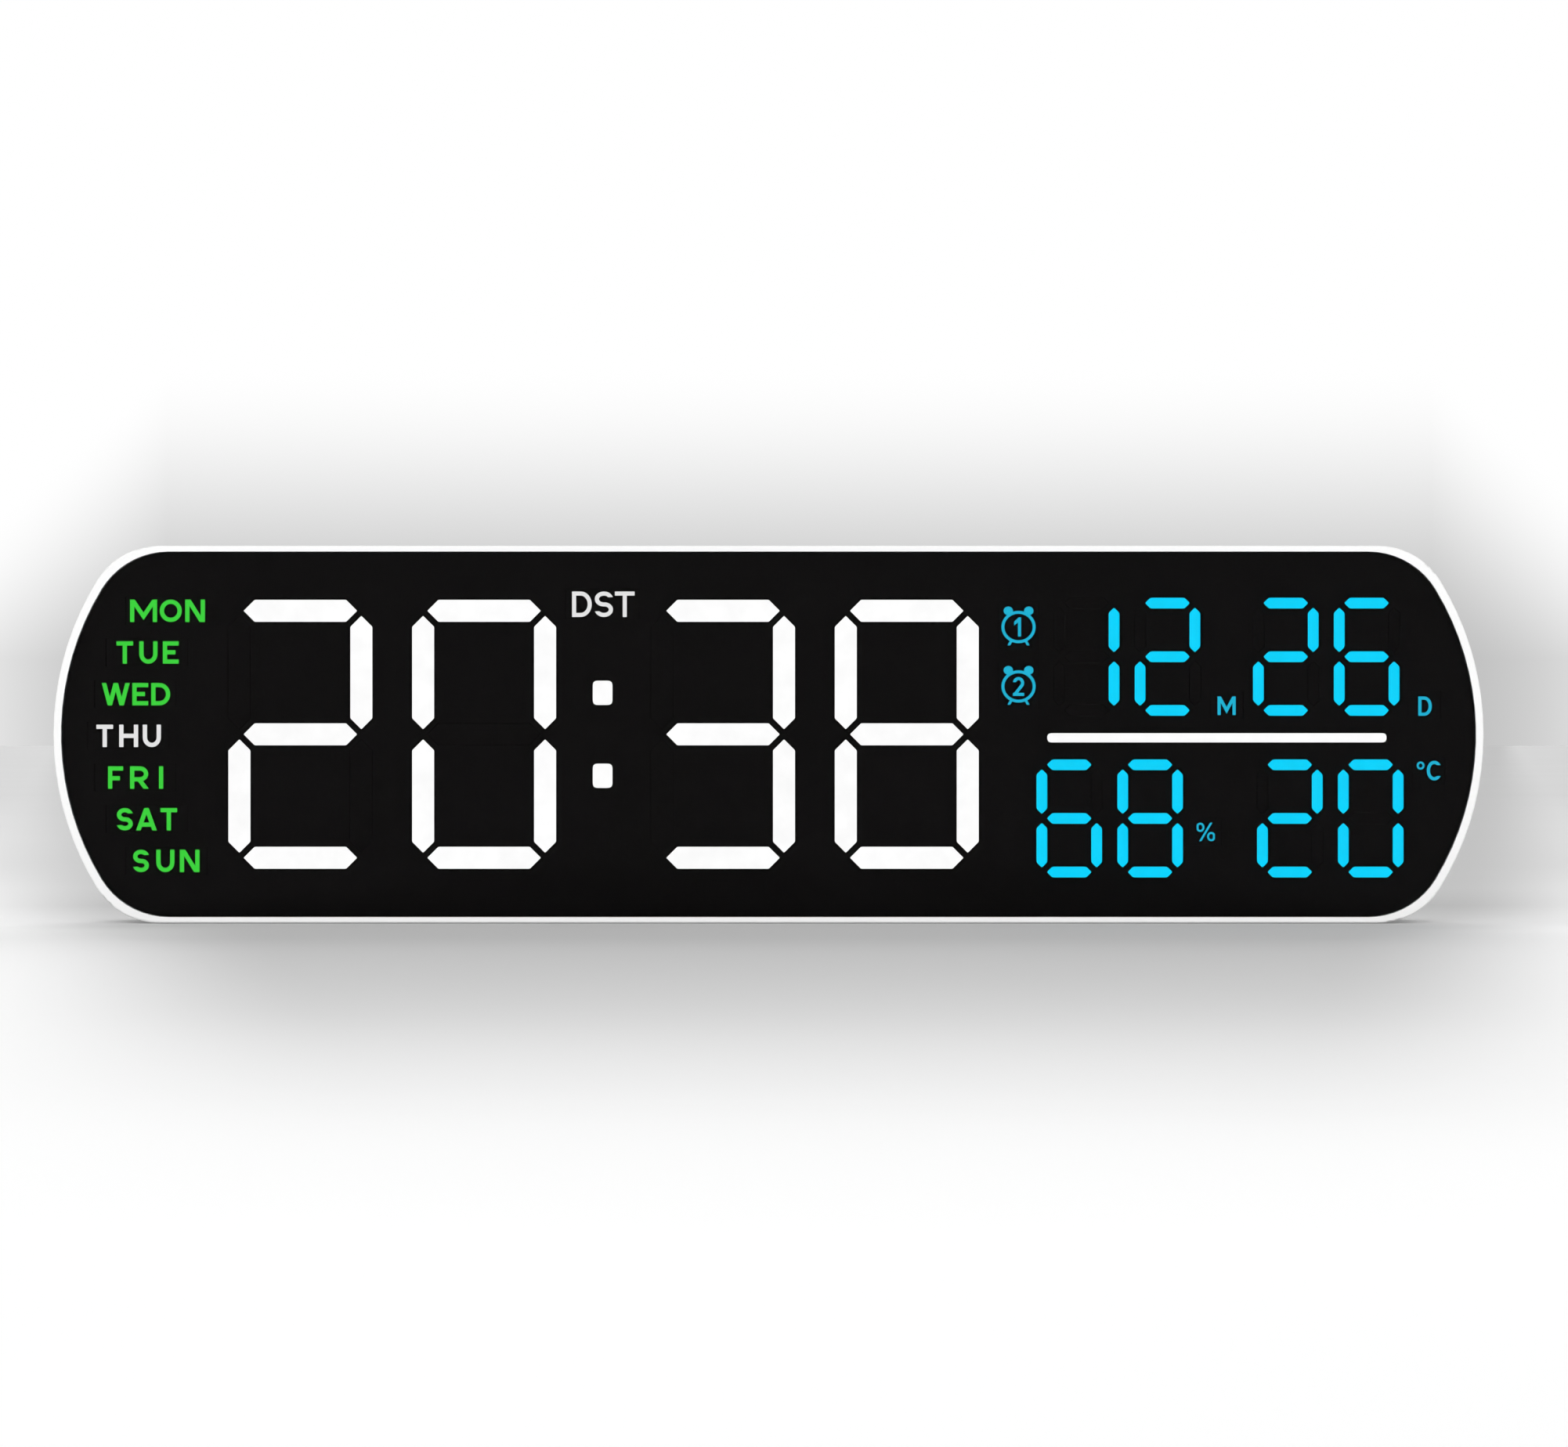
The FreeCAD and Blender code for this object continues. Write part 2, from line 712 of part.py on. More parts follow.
def segment_lamps():
    """One lamp behind each small shape and two behind each long one, all on the board's front."""
    thickness, size = number("lamp_thickness"), Vector(number("lamp_width"), 0, number("lamp_height"))
    front = number(f"{BOARD_FRONT} - lamp_thickness")
    lamps = []

    def lamp(x, z):
        corner = Vector(x - size.x / 2, front, z - size.z / 2)
        lamps.append(Part.makeBox(size.x, thickness, size.z, corner))

    for entries in LIT.values():
        for entry in entries:
            if len(entry) == 3:
                kind, x, z = entry
                for bar_x, bar_z, upright in bar_places(kind):
                    quarter = number(bar_length(kind, upright)) / 4
                    across_face, up_face = on_face(f"{x} + {bar_x}", f"{z} + {bar_z}")
                    at_x, at_z = number(across_face), number(row(up_face))
                    for shift in ((-quarter, quarter) if kind == "digit" else (0,)):
                        lamp(at_x + (0 if upright else shift), at_z + (shift if upright else 0))
            else:
                x, z, width, height = entry
                x, z = on_face(x, z)
                at_x, at_z, quarter = number(x), number(row(z)), number(width) / 4
                for shift in ((-quarter, quarter) if quarter > LONG_PLATE * number(height) else (0,)):
                    lamp(at_x + shift, at_z)
    cluster = doc.addObject("Part::Feature", "segment_lamp_group")
    cluster.Shape = Part.makeCompound(lamps)
    cluster.Placement = Placement(Vector(), Rotation())
    keep("segment_lamps", cluster)


def bevelled_chip(name, x, z, width, height):
    """A flat package on the board's back with its outer edges bevelled."""
    body = doc.addObject("PartDesign::Body", f"{name}_body")
    drawing = face_sketch(body, f"{name}_outline", BOARD_BACK)
    rectangle(drawing, x, z, width, height)
    package = pad(body, drawing, "chip_thickness")
    doc.recompute()
    outer = number(f"{BOARD_BACK} + chip_thickness")
    soften(body, package, "Chamfer", "chip_bevel", edges_where(package.Shape, flat_at(outer)))
    return body


def board_parts():
    keep("clock_chip",
         bevelled_chip("clock_chip", "0", "clock_chip_row", "clock_chip_side", "clock_chip_side"))
    drivers = [bevelled_chip(f"driver_chip_{side}", f"{sign}*driver_chip_x", "0",
                             "driver_chip_width", "driver_chip_height") for side, sign in SIDES.items()]
    keep("driver_chips", group("driver_chip_group", drivers))
    crystal = rod("clock_crystal_can", "Z", "crystal_radius", row("crystal_row"),
                  row("crystal_row + crystal_length"), x="crystal_x", y=f"{BOARD_BACK} + crystal_radius")
    keep("clock_crystal", crystal)
    keep("climate_sensor", block("climate_sensor_chip", around(SENSOR_X, "sensor_width"),
                                 (BOARD_BACK, f"{BOARD_BACK} + sensor_thickness"),
                                 around(row("slit_row"), "sensor_width")))
    top = f"{BOARD_BACK} + buzzer_height"
    place = {"x": "buzzer_x", "z": row("buzzer_row")}
    can = rod("buzzer_can", "Y", "buzzer_radius", BOARD_BACK, top, **place)
    port = rod("buzzer_port", "Y", "buzzer_port_radius", f"{top} - buzzer_height/2", top, **place)
    keep("alarm_buzzer", taken("alarm_buzzer_cut", can, [port]))


SENSOR_X = f"slit_x + {(SLITS - 1) / 2}*slit_step"


def cross_screw(name, x, z, head_back, radius, length, head_radius, head_thickness):
    """A screw driven from the back: shank, flat head and a cross slot in the head."""
    under = f"({head_back} - {head_thickness})"
    head = rod(f"{name}_head", "Y", head_radius, under, head_back, x=x, z=z)
    shank = rod(f"{name}_shank", "Y", radius, f"{under} - ({length})", under, x=x, z=z)
    deep = (f"{head_back} - slot_depth", f"{head_back} + slot_depth")
    reach = f"slot_reach*{head_radius}"
    flat = block(f"{name}_slot_flat", around(x, reach), deep, around(z, "slot_width"))
    tall = block(f"{name}_slot_tall", around(x, "slot_width"), deep, around(z, reach))
    return taken(f"{name}_screw", joined(f"{name}_blank", [head, shank]), [flat, tall])


def screws():
    head_back = f"({BACK} - counterbore_depth + screw_head_thickness)"
    keep("case_screws", group("case_screw_group", [
        cross_screw(f"case_{i}", x, row(z), head_back, "screw_radius",
                    f"{BACK} - counterbore_depth - {SEAM} + screw_bite",
                    "screw_head_radius", "screw_head_thickness")
        for i, (x, z) in enumerate(post_places())]))
    head_back = f"({BOARD_BACK} + board_screw_head_thickness)"
    keep("board_screws", group("board_screw_group", [
        cross_screw(f"board_{i}", x, row(z), head_back, "board_screw_radius", "board_screw_length",
                    "board_screw_head_radius", "board_screw_head_thickness")
        for i, (x, z) in enumerate(board_screw_places())]))


# ---------------------------------------------------------------- legs

LEG_FRONT = f"({BACK} - leg_sink - leg_thickness)"
PIN_DEPTH = f"({BACK} - leg_sink - leg_thickness/2)"
BAY_INNER = "(leg_pin_x - leg_length - leg_gap)"
BAY_OUTER = "(leg_pin_x + leg_thickness/2 + leg_gap)"
BAY_TOP = "(leg_height + leg_gap)"
BAY_FRONT = f"({LEG_FRONT} - leg_gap)"


def across(sign, low, high):
    """A pair of X formulas, mirrored to the left side when sign is negative."""
    return (low, high) if sign > 0 else (f"-({high})", f"-({low})")


def stand_leg(side, sign):
    """A flat leg along the case's back, hinged at its outer end, with a notch over the case's lug."""
    body = new_body(f"stand_leg_{side}")
    plate = new_sketch(body, f"leg_{side}_plate", "XZ", LEG_FRONT)
    tip, pin, notch = "leg_pin_x - leg_length", "leg_pin_x", "leg_pin_x - leg_notch"
    step = "lug_height + hinge_gap"
    polygon(plate, [(f"{sign}*({x})", z) for x, z in (
        (tip, "0"), (notch, "0"), (notch, step), (pin, step), (pin, "leg_height"), (tip, "leg_height"))])
    leg = pad(body, plate, "leg_thickness")
    barrel = new_sketch(body, f"leg_{side}_barrel", "XY", step)
    circle(barrel, f"{sign}*leg_pin_x", PIN_DEPTH, "leg_thickness/2")
    leg = pad(body, barrel, f"leg_height - ({step})")
    bore = new_sketch(body, f"leg_{side}_bore", "XY", step)
    circle(bore, f"{sign}*leg_pin_x", PIN_DEPTH, "pin_radius + pin_running_gap")
    leg = pocket(body, bore, f"leg_height - ({step})")
    doc.recompute()
    outer = number(f"{LEG_FRONT} + leg_thickness")
    foot = edges_where(leg.Shape, lambda box: flat_at(outer)(box) and box.ZMax < 1e-4 and box.XLength > 1)
    leg = soften(body, leg, "Chamfer", "leg_edge_bevel", foot)
    tip_x = number(f"{sign}*({tip})")
    upright = edges_where(leg.Shape, lambda box: abs(box.XMin - tip_x) < 1e-4 and abs(box.XMax - tip_x) < 1e-4
                          and box.ZLength > number("leg_height") / 2)
    soften(body, leg, "Fillet", "leg_tip_round", upright)


def hinge_pin(side, sign):
    pin = rod(f"hinge_pin_{side}_rod", "Z", "pin_radius", "pin_sink", f"{BAY_TOP} + bay_roof - pin_sink",
              x=f"{sign}*leg_pin_x", y=PIN_DEPTH)
    keep(f"hinge_pin_{side}", pin)


def leg_bay(side, sign):
    """Walls of the bay, the spaces cut from them, and the lug and pin seats that carry the leg."""
    walls = block(f"bay_walls_{side}",
                  across(sign, f"{BAY_INNER} - finger_width - bay_wall", f"{BAY_OUTER} + bay_wall"),
                  (f"{BAY_FRONT} - bay_wall", BACK), ("0", f"{BAY_TOP} + bay_roof"))
    space = block(f"bay_space_{side}", across(sign, BAY_INNER, BAY_OUTER),
                  (BAY_FRONT, f"{BACK} + leg_thickness"), ("-leg_gap", BAY_TOP))
    lug = block(f"bay_lug_{side}", across(sign, "leg_pin_x - leg_thickness/2 - leg_gap", BAY_OUTER),
                (BAY_FRONT, f"{BACK} - leg_sink"), ("0", "lug_height"))
    finger = block(f"bay_finger_{side}", across(sign, f"{BAY_INNER} - finger_width", BAY_INNER),
                   (f"{BACK} - finger_depth", f"{BACK} + finger_depth"),
                   around("leg_height/2", "finger_height"))
    seat = rod(f"bay_pin_seat_{side}", "Z", "pin_radius + pin_seat_gap", "-leg_gap",
               f"{BAY_TOP} + bay_roof - pin_sink", x=f"{sign}*leg_pin_x", y=PIN_DEPTH)
    return walls, [taken(f"bay_hollow_{side}", space, [lug]), finger, seat]


# ---------------------------------------------------------------- keys

def key_place(index):
    return {"x": f"key_x + {index}*key_step", "z": row("key_row")}


CAP_BACK = f"({BACK} - key_sink)"
FLANGE_BACK = f"({COVER_INSIDE} - key_flange_gap)"
FLANGE_FRONT = f"({FLANGE_BACK} - key_flange_thickness)"
SWITCH_BACK = f"({BOARD_BACK} + switch_height)"
STEM_BACK = f"({SWITCH_BACK} + stem_height)"


def keys():
    switches = []
    for index, name in enumerate(KEYS):
        place = key_place(index)
        cap = rod(f"{name}_cap", "Y", "key_radius", FLANGE_FRONT, CAP_BACK, **place)
        flange = rod(f"{name}_flange", "Y", "key_flange_radius", FLANGE_FRONT, FLANGE_BACK, **place)
        plunger = rod(f"{name}_plunger", "Y", "key_plunger_radius", STEM_BACK, FLANGE_FRONT, **place)
        keep(name, joined(f"{name}_whole", [cap, flange, plunger]))
        stem = rod(f"{name}_stem_rod", "Y", "stem_radius", f"{SWITCH_BACK} - stem_root", STEM_BACK, **place)
        keep(f"{name}_stem", stem)
        case = block(f"{name}_switch_case", around(place["x"], "switch_side"), (BOARD_BACK, SWITCH_BACK),
                     around(place["z"], "switch_side"))
        hole = rod(f"{name}_switch_hole", "Y", "stem_radius + stem_gap",
                   f"{SWITCH_BACK} - 2*stem_root", SWITCH_BACK, **place)
        switches.append(taken(f"{name}_switch", case, [hole]))
    keep("key_switches", group("key_switch_group", switches))


def key_openings():
    """A shallow panel for the row of keys, and a hole for each cap."""
    margin = "key_radius + key_panel_margin"
    last = f"key_x + {len(KEYS) - 1}*key_step"
    panel = block("key_panel", (f"key_x - ({margin})", f"{last} + {margin}"),
                  (f"{BACK} - key_panel_depth", f"{BACK} + key_panel_depth"),
                  around(row("key_row"), f"2*({margin})"))
    holes = [rod(f"{name}_hole", "Y", "key_radius + key_gap", f"{COVER_INSIDE} - back_wall", BACK,
                 **key_place(index)) for index, name in enumerate(KEYS)]
    return [panel] + holes


# ---------------------------------------------------------------- coin cell and its door

CELL_Z = row("cell_row")
HOLDER_BASE_BACK = f"({BOARD_BACK} + holder_base)"
CELL_BACK = f"({HOLDER_BASE_BACK} + contact_thickness + cell_thickness)"
DOOR_BACK = f"({BACK} - door_sink)"
DOOR_FRONT = f"({DOOR_BACK} - door_thickness)"
DOOR_LOW = f"({CELL_Z} - well_side/2 - door_ledge)"
DOOR_HIGH = f"({CELL_Z} + well_side/2 + door_tab)"
DOOR_SCREW_Z = f"({CELL_Z} + well_side/2 + door_tab/2)"


def coin_cell_parts():
    place = {"x": "cell_x", "z": CELL_Z}
    body = block("holder_block", around("cell_x", "holder_side"),
                 (BOARD_BACK, f"{HOLDER_BASE_BACK} + holder_rim"), around(CELL_Z, "holder_side"))
    cup = rod("holder_cup", "Y", "cell_radius + cell_gap", HOLDER_BASE_BACK,
              f"{HOLDER_BASE_BACK} + 2*holder_rim", **place)
    slot = block("holder_contact_slot", around("cell_x", "contact_width + 2*cell_gap"),
                 (HOLDER_BASE_BACK, f"{HOLDER_BASE_BACK} + 2*holder_rim"),
                 (CELL_Z, f"{CELL_Z} + holder_side"))
    keep("cell_holder", taken("cell_holder_cut", body, [cup, slot]))
    cell_front = f"{HOLDER_BASE_BACK} + contact_thickness"
    keep("coin_cell", rod("coin_cell_can", "Y", "cell_radius", cell_front, CELL_BACK, **place))
    strip = block("contact_strip", around("cell_x", "contact_width"),
                  (HOLDER_BASE_BACK, cell_front),
                  (CELL_Z, f"{CELL_Z} + holder_side/2"))
    over = block("contact_over", around("cell_x", "contact_width"),
                 (CELL_BACK, f"{CELL_BACK} + contact_thickness"),
                 (f"{CELL_Z} + cell_radius - contact_width", f"{CELL_Z} + holder_side/2"))
    back = block("contact_riser", around("cell_x", "contact_width"),
                 (HOLDER_BASE_BACK, f"{CELL_BACK} + contact_thickness"),
                 (f"{CELL_Z} + holder_side/2 - contact_thickness", f"{CELL_Z} + holder_side/2"))
    keep("cell_contact", joined("cell_contact_whole", [strip, over, back]))


def battery_door():
    """A flat door with a locating rib, grip bars and a captive screw at its upper tab."""
    gap = "door_gap"
    plate = block("door_plate", around("cell_x", f"well_side + 2*door_ledge - 2*{gap}"),
                  (DOOR_FRONT, DOOR_BACK), (f"{DOOR_LOW} + {gap}", f"{DOOR_HIGH} - {gap}"))
    outer = f"well_side - 2*{gap}"
    rib_reach = (f"{DOOR_FRONT} - door_rib_depth", DOOR_FRONT)
    rib = block("door_rib_block", around("cell_x", outer), rib_reach, around(CELL_Z, outer))
    inner = f"{outer} - 2*door_rib"
    hollow = block("door_rib_hollow", around("cell_x", inner),
                   (f"{DOOR_FRONT} - 2*door_rib_depth", DOOR_FRONT), around(CELL_Z, inner))
    ring = taken("door_rib_ring", rib, [hollow])
    screw_place = {"x": "cell_x", "z": DOOR_SCREW_Z}
    hole = rod("door_screw_hole", "Y", "door_screw_radius + screw_clearance", f"{DOOR_FRONT} - back_wall",
               DOOR_BACK, **screw_place)
    sink = rod("door_screw_sink", "Y", "door_screw_head_radius + screw_clearance",
               f"{DOOR_BACK} - door_screw_head_thickness", DOOR_BACK, **screw_place)
    grips = [block(f"door_grip_{i}", around("cell_x", "grip_width"),
                   (f"{DOOR_BACK} - grip_depth", f"{DOOR_BACK} + grip_depth"),
                   around(f"{CELL_Z} + {i - 1}*grip_step", "grip_height")) for i in range(3)]
    keep("battery_door", taken("battery_door_cut", joined("battery_door_whole", [plate, ring]),
                               [hole, sink] + grips))
    keep("battery_door_screw", cross_screw("door", "cell_x", DOOR_SCREW_Z, DOOR_BACK, "door_screw_radius",
                                           "door_screw_length", "door_screw_head_radius",
                                           "door_screw_head_thickness"))


def door_walls():
    """Walls around the coin-cell bay and the boss for the door's screw."""
    outside = "well_side + 2*well_wall"
    well = block("well_walls", around("cell_x", outside), (f"{BOARD_BACK} + leg_gap", BACK),
                 around(CELL_Z, outside))
    ledge = block("door_ledge_block", around("cell_x", "well_side + 2*door_ledge + 2*well_wall"),
                  (f"{DOOR_FRONT} - back_wall", BACK),
                  (f"{DOOR_LOW} - well_wall", f"{DOOR_HIGH} + well_wall"))
    boss = rod("door_boss", "Y", "door_boss_radius", f"{DOOR_FRONT} - door_boss_depth", DOOR_FRONT,
               x="cell_x", z=DOOR_SCREW_Z)
    return [well, ledge, boss]


def door_openings():
    well = block("well_space", around("cell_x", "well_side"), (BOARD_BACK, f"{BACK} + back_wall"),
                 around(CELL_Z, "well_side"))
    rebate = block("door_rebate", around("cell_x", "well_side + 2*door_ledge"),
                   (DOOR_FRONT, f"{BACK} + back_wall"), (DOOR_LOW, DOOR_HIGH))
    pilot = rod("door_pilot", "Y", "door_screw_radius + screw_clearance/2",
                f"{DOOR_BACK} - door_screw_head_thickness - door_screw_length - screw_clearance", DOOR_FRONT,
                x="cell_x", z=DOOR_SCREW_Z)
    return [well, rebate, pilot]


# ---------------------------------------------------------------- power inlet

def rounded_slot(name, width, height, start, stop):
    """A slot-shaped bar along Y at the inlet: a block with a half-round on each end."""
    straight = f"({width}) - ({height})"
    middle = block(f"{name}_middle", around("inlet_x", straight), (start, stop),
                   around(row("inlet_row"), height))
    ends = [rod(f"{name}_{side}", "Y", f"({height})/2", start, stop, x=f"inlet_x + {sign}*({straight})/2",
                z=row("inlet_row")) for side, sign in SIDES.items()]
    return joined(f"{name}_slot", [middle] + ends)


def power_inlet():
    mouth = f"{BACK} - inlet_sink"
    floor = f"{BOARD_BACK} + inlet_floor"
    shell = rounded_slot("inlet_shell", "inlet_width", "inlet_height", BOARD_BACK, mouth)
    hollow = rounded_slot("inlet_hollow", "inlet_width - 2*inlet_wall", "inlet_height - 2*inlet_wall",
                          floor, f"{mouth} + inlet_wall")
    keep("usb_inlet", taken("usb_inlet_cut", shell, [hollow]))
    keep("usb_inlet_tongue", block("usb_tongue", around("inlet_x", "inlet_tongue_width"),
                                   (floor, f"{mouth} - inlet_tongue_sink"),
                                   around(row("inlet_row"), "inlet_tongue_thickness")))


# ---------------------------------------------------------------- rear cover

KEYHOLE_Z = row("keyhole_row")


def keyhole(side, sign):
    """A pocket behind the wall and a keyhole through it: a round entry with a slot that runs up."""
    x = f"{sign}*keyhole_spacing/2"
    low = f"{KEYHOLE_Z} - keyhole_pocket_side/2"
    high = f"{KEYHOLE_Z} + keyhole_rise + keyhole_pocket_side/2"
    front = f"{COVER_INSIDE} - keyhole_pocket_depth"
    walls = block(f"keyhole_walls_{side}", around(x, "keyhole_pocket_side + 2*keyhole_wall"),
                  (f"{front} - keyhole_wall", BACK), (f"{low} - keyhole_wall", f"{high} + keyhole_wall"))
    pocket_space = block(f"keyhole_pocket_{side}", around(x, "keyhole_pocket_side"), (front, COVER_INSIDE),
                         (low, high))
    entry = rod(f"keyhole_entry_{side}", "Y", "keyhole_radius", COVER_INSIDE, BACK, x=x, z=KEYHOLE_Z)
    slot = block(f"keyhole_slot_{side}", around(x, "keyhole_slot_width"), (COVER_INSIDE, BACK),
                 (KEYHOLE_Z, f"{KEYHOLE_Z} + keyhole_rise"))
    end = rod(f"keyhole_end_{side}", "Y", "keyhole_slot_width/2", COVER_INSIDE, BACK, x=x,
              z=f"{KEYHOLE_Z} + keyhole_rise")
    return walls, [pocket_space, entry, slot, end]


def cover_blank():
    """The cover's outer form with its rounded back edge and bevelled seam."""
    body = doc.addObject("PartDesign::Body", "cover_blank")
    outline = rounded_ends(face_sketch(body, "cover_outline", SEAM), "case")
    form = pad(body, outline, "case_depth - bezel_depth")
    doc.recompute()
    form = soften(body, form, "Fillet", "back_round", edges_where(form.Shape, flat_at(number(BACK))))
    soften(body, form, "Chamfer", "seam_bevel", edges_where(form.Shape, flat_at(number(SEAM))))
    return body


def cover_cavity():
    body = doc.addObject("PartDesign::Body", "cover_cavity")
    outline = rounded_ends(face_sketch(body, "cavity_outline", SEAM), "case", "case_wall")
    pad(body, outline, "case_depth - bezel_depth - back_wall")
    return body


def rear_cover():
    standing, openings = door_walls(), door_openings() + key_openings()
    for side, sign in SIDES.items():
        for walls, spaces in (leg_bay(side, sign), keyhole(side, sign)):
            standing.append(walls)
            openings += spaces
    for i, (x, z) in enumerate(post_places()):
        place = {"x": x, "z": row(z)}
        standing.append(rod(f"cover_post_{i}", "Y", "post_radius", SEAM, BACK, **place))
        openings.append(rod(f"cover_screw_hole_{i}", "Y", "screw_radius + screw_clearance", SEAM, BACK,
                            **place))
        openings.append(rod(f"counterbore_{i}", "Y", "screw_head_radius + screw_clearance",
                            f"{BACK} - counterbore_depth", BACK, **place))
    for i, (x, z) in enumerate((a, b) for a in (-1, 1) for b in (-1, 1)):
        standing.append(rod(f"board_rib_{i}", "Y", "rib_radius", f"{BOARD_BACK} + rib_gap", BACK,
                            x=f"{x}*rib_x", z=row(f"{z}*rib_row")))
    openings += [block(f"air_slit_{i}", around(f"slit_x + {i}*slit_step", "slit_width"), (COVER_INSIDE, BACK),
                       around(row("slit_row"), "slit_height")) for i in range(SLITS)]
    openings.append(rod("sound_hole", "Y", "sound_hole_radius", COVER_INSIDE, BACK, x="buzzer_x",
                        z=row("buzzer_row")))
    for i in range(SOUND_HOLES):
        turn = f"{360 / SOUND_HOLES * i:.1f} deg"
        openings.append(rod(f"sound_hole_{i}", "Y", "sound_hole_radius", COVER_INSIDE, BACK,
                            x=f"buzzer_x + sound_hole_circle*cos({turn})",
                            z=row(f"buzzer_row + sound_hole_circle*sin({turn})")))
    openings.append(rounded_slot("inlet_opening", "inlet_width + 2*inlet_gap", "inlet_height + 2*inlet_gap",
                                 f"{COVER_INSIDE} - back_wall", f"{BACK} + back_wall"))
    hollow = taken("cover_hollow", cover_cavity(), standing)
    keep("rear_cover", taken("rear_cover_cut", cover_blank(), [hollow] + openings))


# ---------------------------------------------------------------- build, test and write

lit_groups()
front_bezel()
lens_and_mask()
light_baffle()
display_board()
segment_lamps()
board_parts()
screws()
for leg_side, leg_sign in SIDES.items():
    stand_leg(leg_side, leg_sign)
    hinge_pin(leg_side, leg_sign)
keys()
coin_cell_parts()
battery_door()
power_inlet()
rear_cover()
doc.recompute()

for thing in doc.Objects:
    if "Invalid" in thing.State or "Error" in thing.State:
        raise RuntimeError(f"{thing.Name} is {thing.State}")
for cutting in pockets:
    if cutting.Shape.Volume > cutting.BaseFeature.Shape.Volume - 1e-6:
        raise RuntimeError(f"{cutting.Name} cuts nothing")
for node, thing in nodes.items():
    if thing.Shape.isNull() or not thing.Shape.isValid() or not thing.Shape.Solids:
        raise RuntimeError(f"{node} has no valid solid")

os.makedirs("parts", exist_ok=True)
for node, thing in nodes.items():
    thing.Shape.exportStep(f"parts/{node}.step")
print(f"{len(nodes)} nodes written")
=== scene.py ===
"""A day clock with a wide lit display, finished around its packed construction model.

Places and sizes in the tables are millimetres in the model's own frame: X to the right seen from
the front, Y to the back, Z up from the table. They turn into metres when a mesh is made.
"""

from functools import reduce
from math import pi, radians

import bpy
import numpy as np
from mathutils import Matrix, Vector


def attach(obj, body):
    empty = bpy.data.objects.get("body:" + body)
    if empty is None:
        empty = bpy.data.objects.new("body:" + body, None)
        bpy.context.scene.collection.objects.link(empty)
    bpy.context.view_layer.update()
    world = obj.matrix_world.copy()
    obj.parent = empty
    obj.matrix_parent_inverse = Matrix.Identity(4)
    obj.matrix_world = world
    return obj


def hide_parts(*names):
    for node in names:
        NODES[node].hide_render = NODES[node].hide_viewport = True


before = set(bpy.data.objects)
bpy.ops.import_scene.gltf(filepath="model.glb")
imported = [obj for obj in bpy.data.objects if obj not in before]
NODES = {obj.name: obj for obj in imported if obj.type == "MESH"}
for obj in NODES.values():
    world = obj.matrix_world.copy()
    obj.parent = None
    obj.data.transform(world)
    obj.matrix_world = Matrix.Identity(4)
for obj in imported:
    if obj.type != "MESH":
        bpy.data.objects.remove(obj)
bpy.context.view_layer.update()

MM = 0.001
# Middle height of the face, and depths of the lit bars: front, back, and how far back their skin glows.
MIDDLE = 48.8
BAR_FRONT, BAR_BACK, GLOW_BACK = -11.35, -10.35, -11.15
BAR_EDGE = 0.12


# ---------------------------------------------------------------- shapes

def miters(path, loop):
    """Sideways vector at each point of a flat path, to the right of its direction.

    With n and m the unit normals of the runs before and after a point, it is (n + m) / (1 + n.m), so
    an offset keeps its distance from both runs. A loose end of a run that stands more upright than
    flat is cut level, and of any other run plumb.
    """
    run = np.roll(path, -1, axis=0) - path
    if not loop:
        run[-1] = run[-2]
    normal = np.stack([run[:, 1], -run[:, 0]], axis=1) / np.linalg.norm(run, axis=1, keepdims=True)
    before = np.roll(normal, 1, axis=0)
    if not loop:
        before[0] = normal[0]
    side = (normal + before) / (1 + np.sum(normal * before, axis=1, keepdims=True))
    if not loop:
        for end in (0, -1):
            axis = int(abs(normal[end, 1]) > abs(normal[end, 0]))
            side[end] = np.eye(2)[axis] / normal[end, axis]
    return side


def carried(path, profile, loop, ring):
    """A profile carried along a flat path on the face.

    Point (i, j) is path[i] + side[i] * offset[j], at depth y[j], where profile[j] = (offset, y) and
    side is the miter above. The path may close on itself (loop), and so may the profile (ring);
    what stays open gets a flat cap.
    """
    path, profile = np.asarray(path, float), np.asarray(profile, float)
    count, around = len(path), len(profile)
    points = np.empty((count, around, 3))
    points[..., 0::2] = path[:, None] + miters(path, loop)[:, None] * profile[None, :, :1]
    points[..., 1] = profile[:, 1]
    i, j = np.meshgrid(np.arange(count if loop else count - 1), np.arange(around if ring else around - 1),
                       indexing="ij")
    i_next, j_next = (i + 1) % count, (j + 1) % around
    faces = np.stack([i * around + j, i * around + j_next, i_next * around + j_next, i_next * around + j],
                     axis=-1).reshape(-1, 4).tolist()
    rows = np.arange(count) * around
    if not ring:
        faces += [rows.tolist(), (rows + around - 1)[::-1].tolist()]
    if not loop:
        faces += [np.arange(around)[::-1].tolist(), (rows[-1] + np.arange(around)).tolist()]
    return points.reshape(-1, 3), faces


def arc(centre, radii, start, stop, steps=24):
    """Points of an ellipse about a centre, from one angle to another in degrees: c + (a cos t, b sin t)."""
    turn = np.radians(np.linspace(start, stop, steps))
    return np.stack([centre[0] + radii[0] * np.cos(turn), centre[1] + radii[1] * np.sin(turn)], axis=1)


def eased(outline, cut, steps=5):
    """A closed outline with each corner c replaced by the curve (1-t)^2 a + 2t(1-t) c + t^2 b.

    Points a and b lie at the distance cut from the corner, towards its neighbours.
    """
    outline = np.asarray(outline, float)
    to_before, to_after = np.roll(outline, 1, axis=0) - outline, np.roll(outline, -1, axis=0) - outline
    start = outline + cut * to_before / np.linalg.norm(to_before, axis=1, keepdims=True)
    stop = outline + cut * to_after / np.linalg.norm(to_after, axis=1, keepdims=True)
    t = np.linspace(0, 1, steps)[None, :, None]
    curve = (1 - t) ** 2 * start[:, None] + 2 * t * (1 - t) * outline[:, None] + t ** 2 * stop[:, None]
    return curve.reshape(-1, 2)


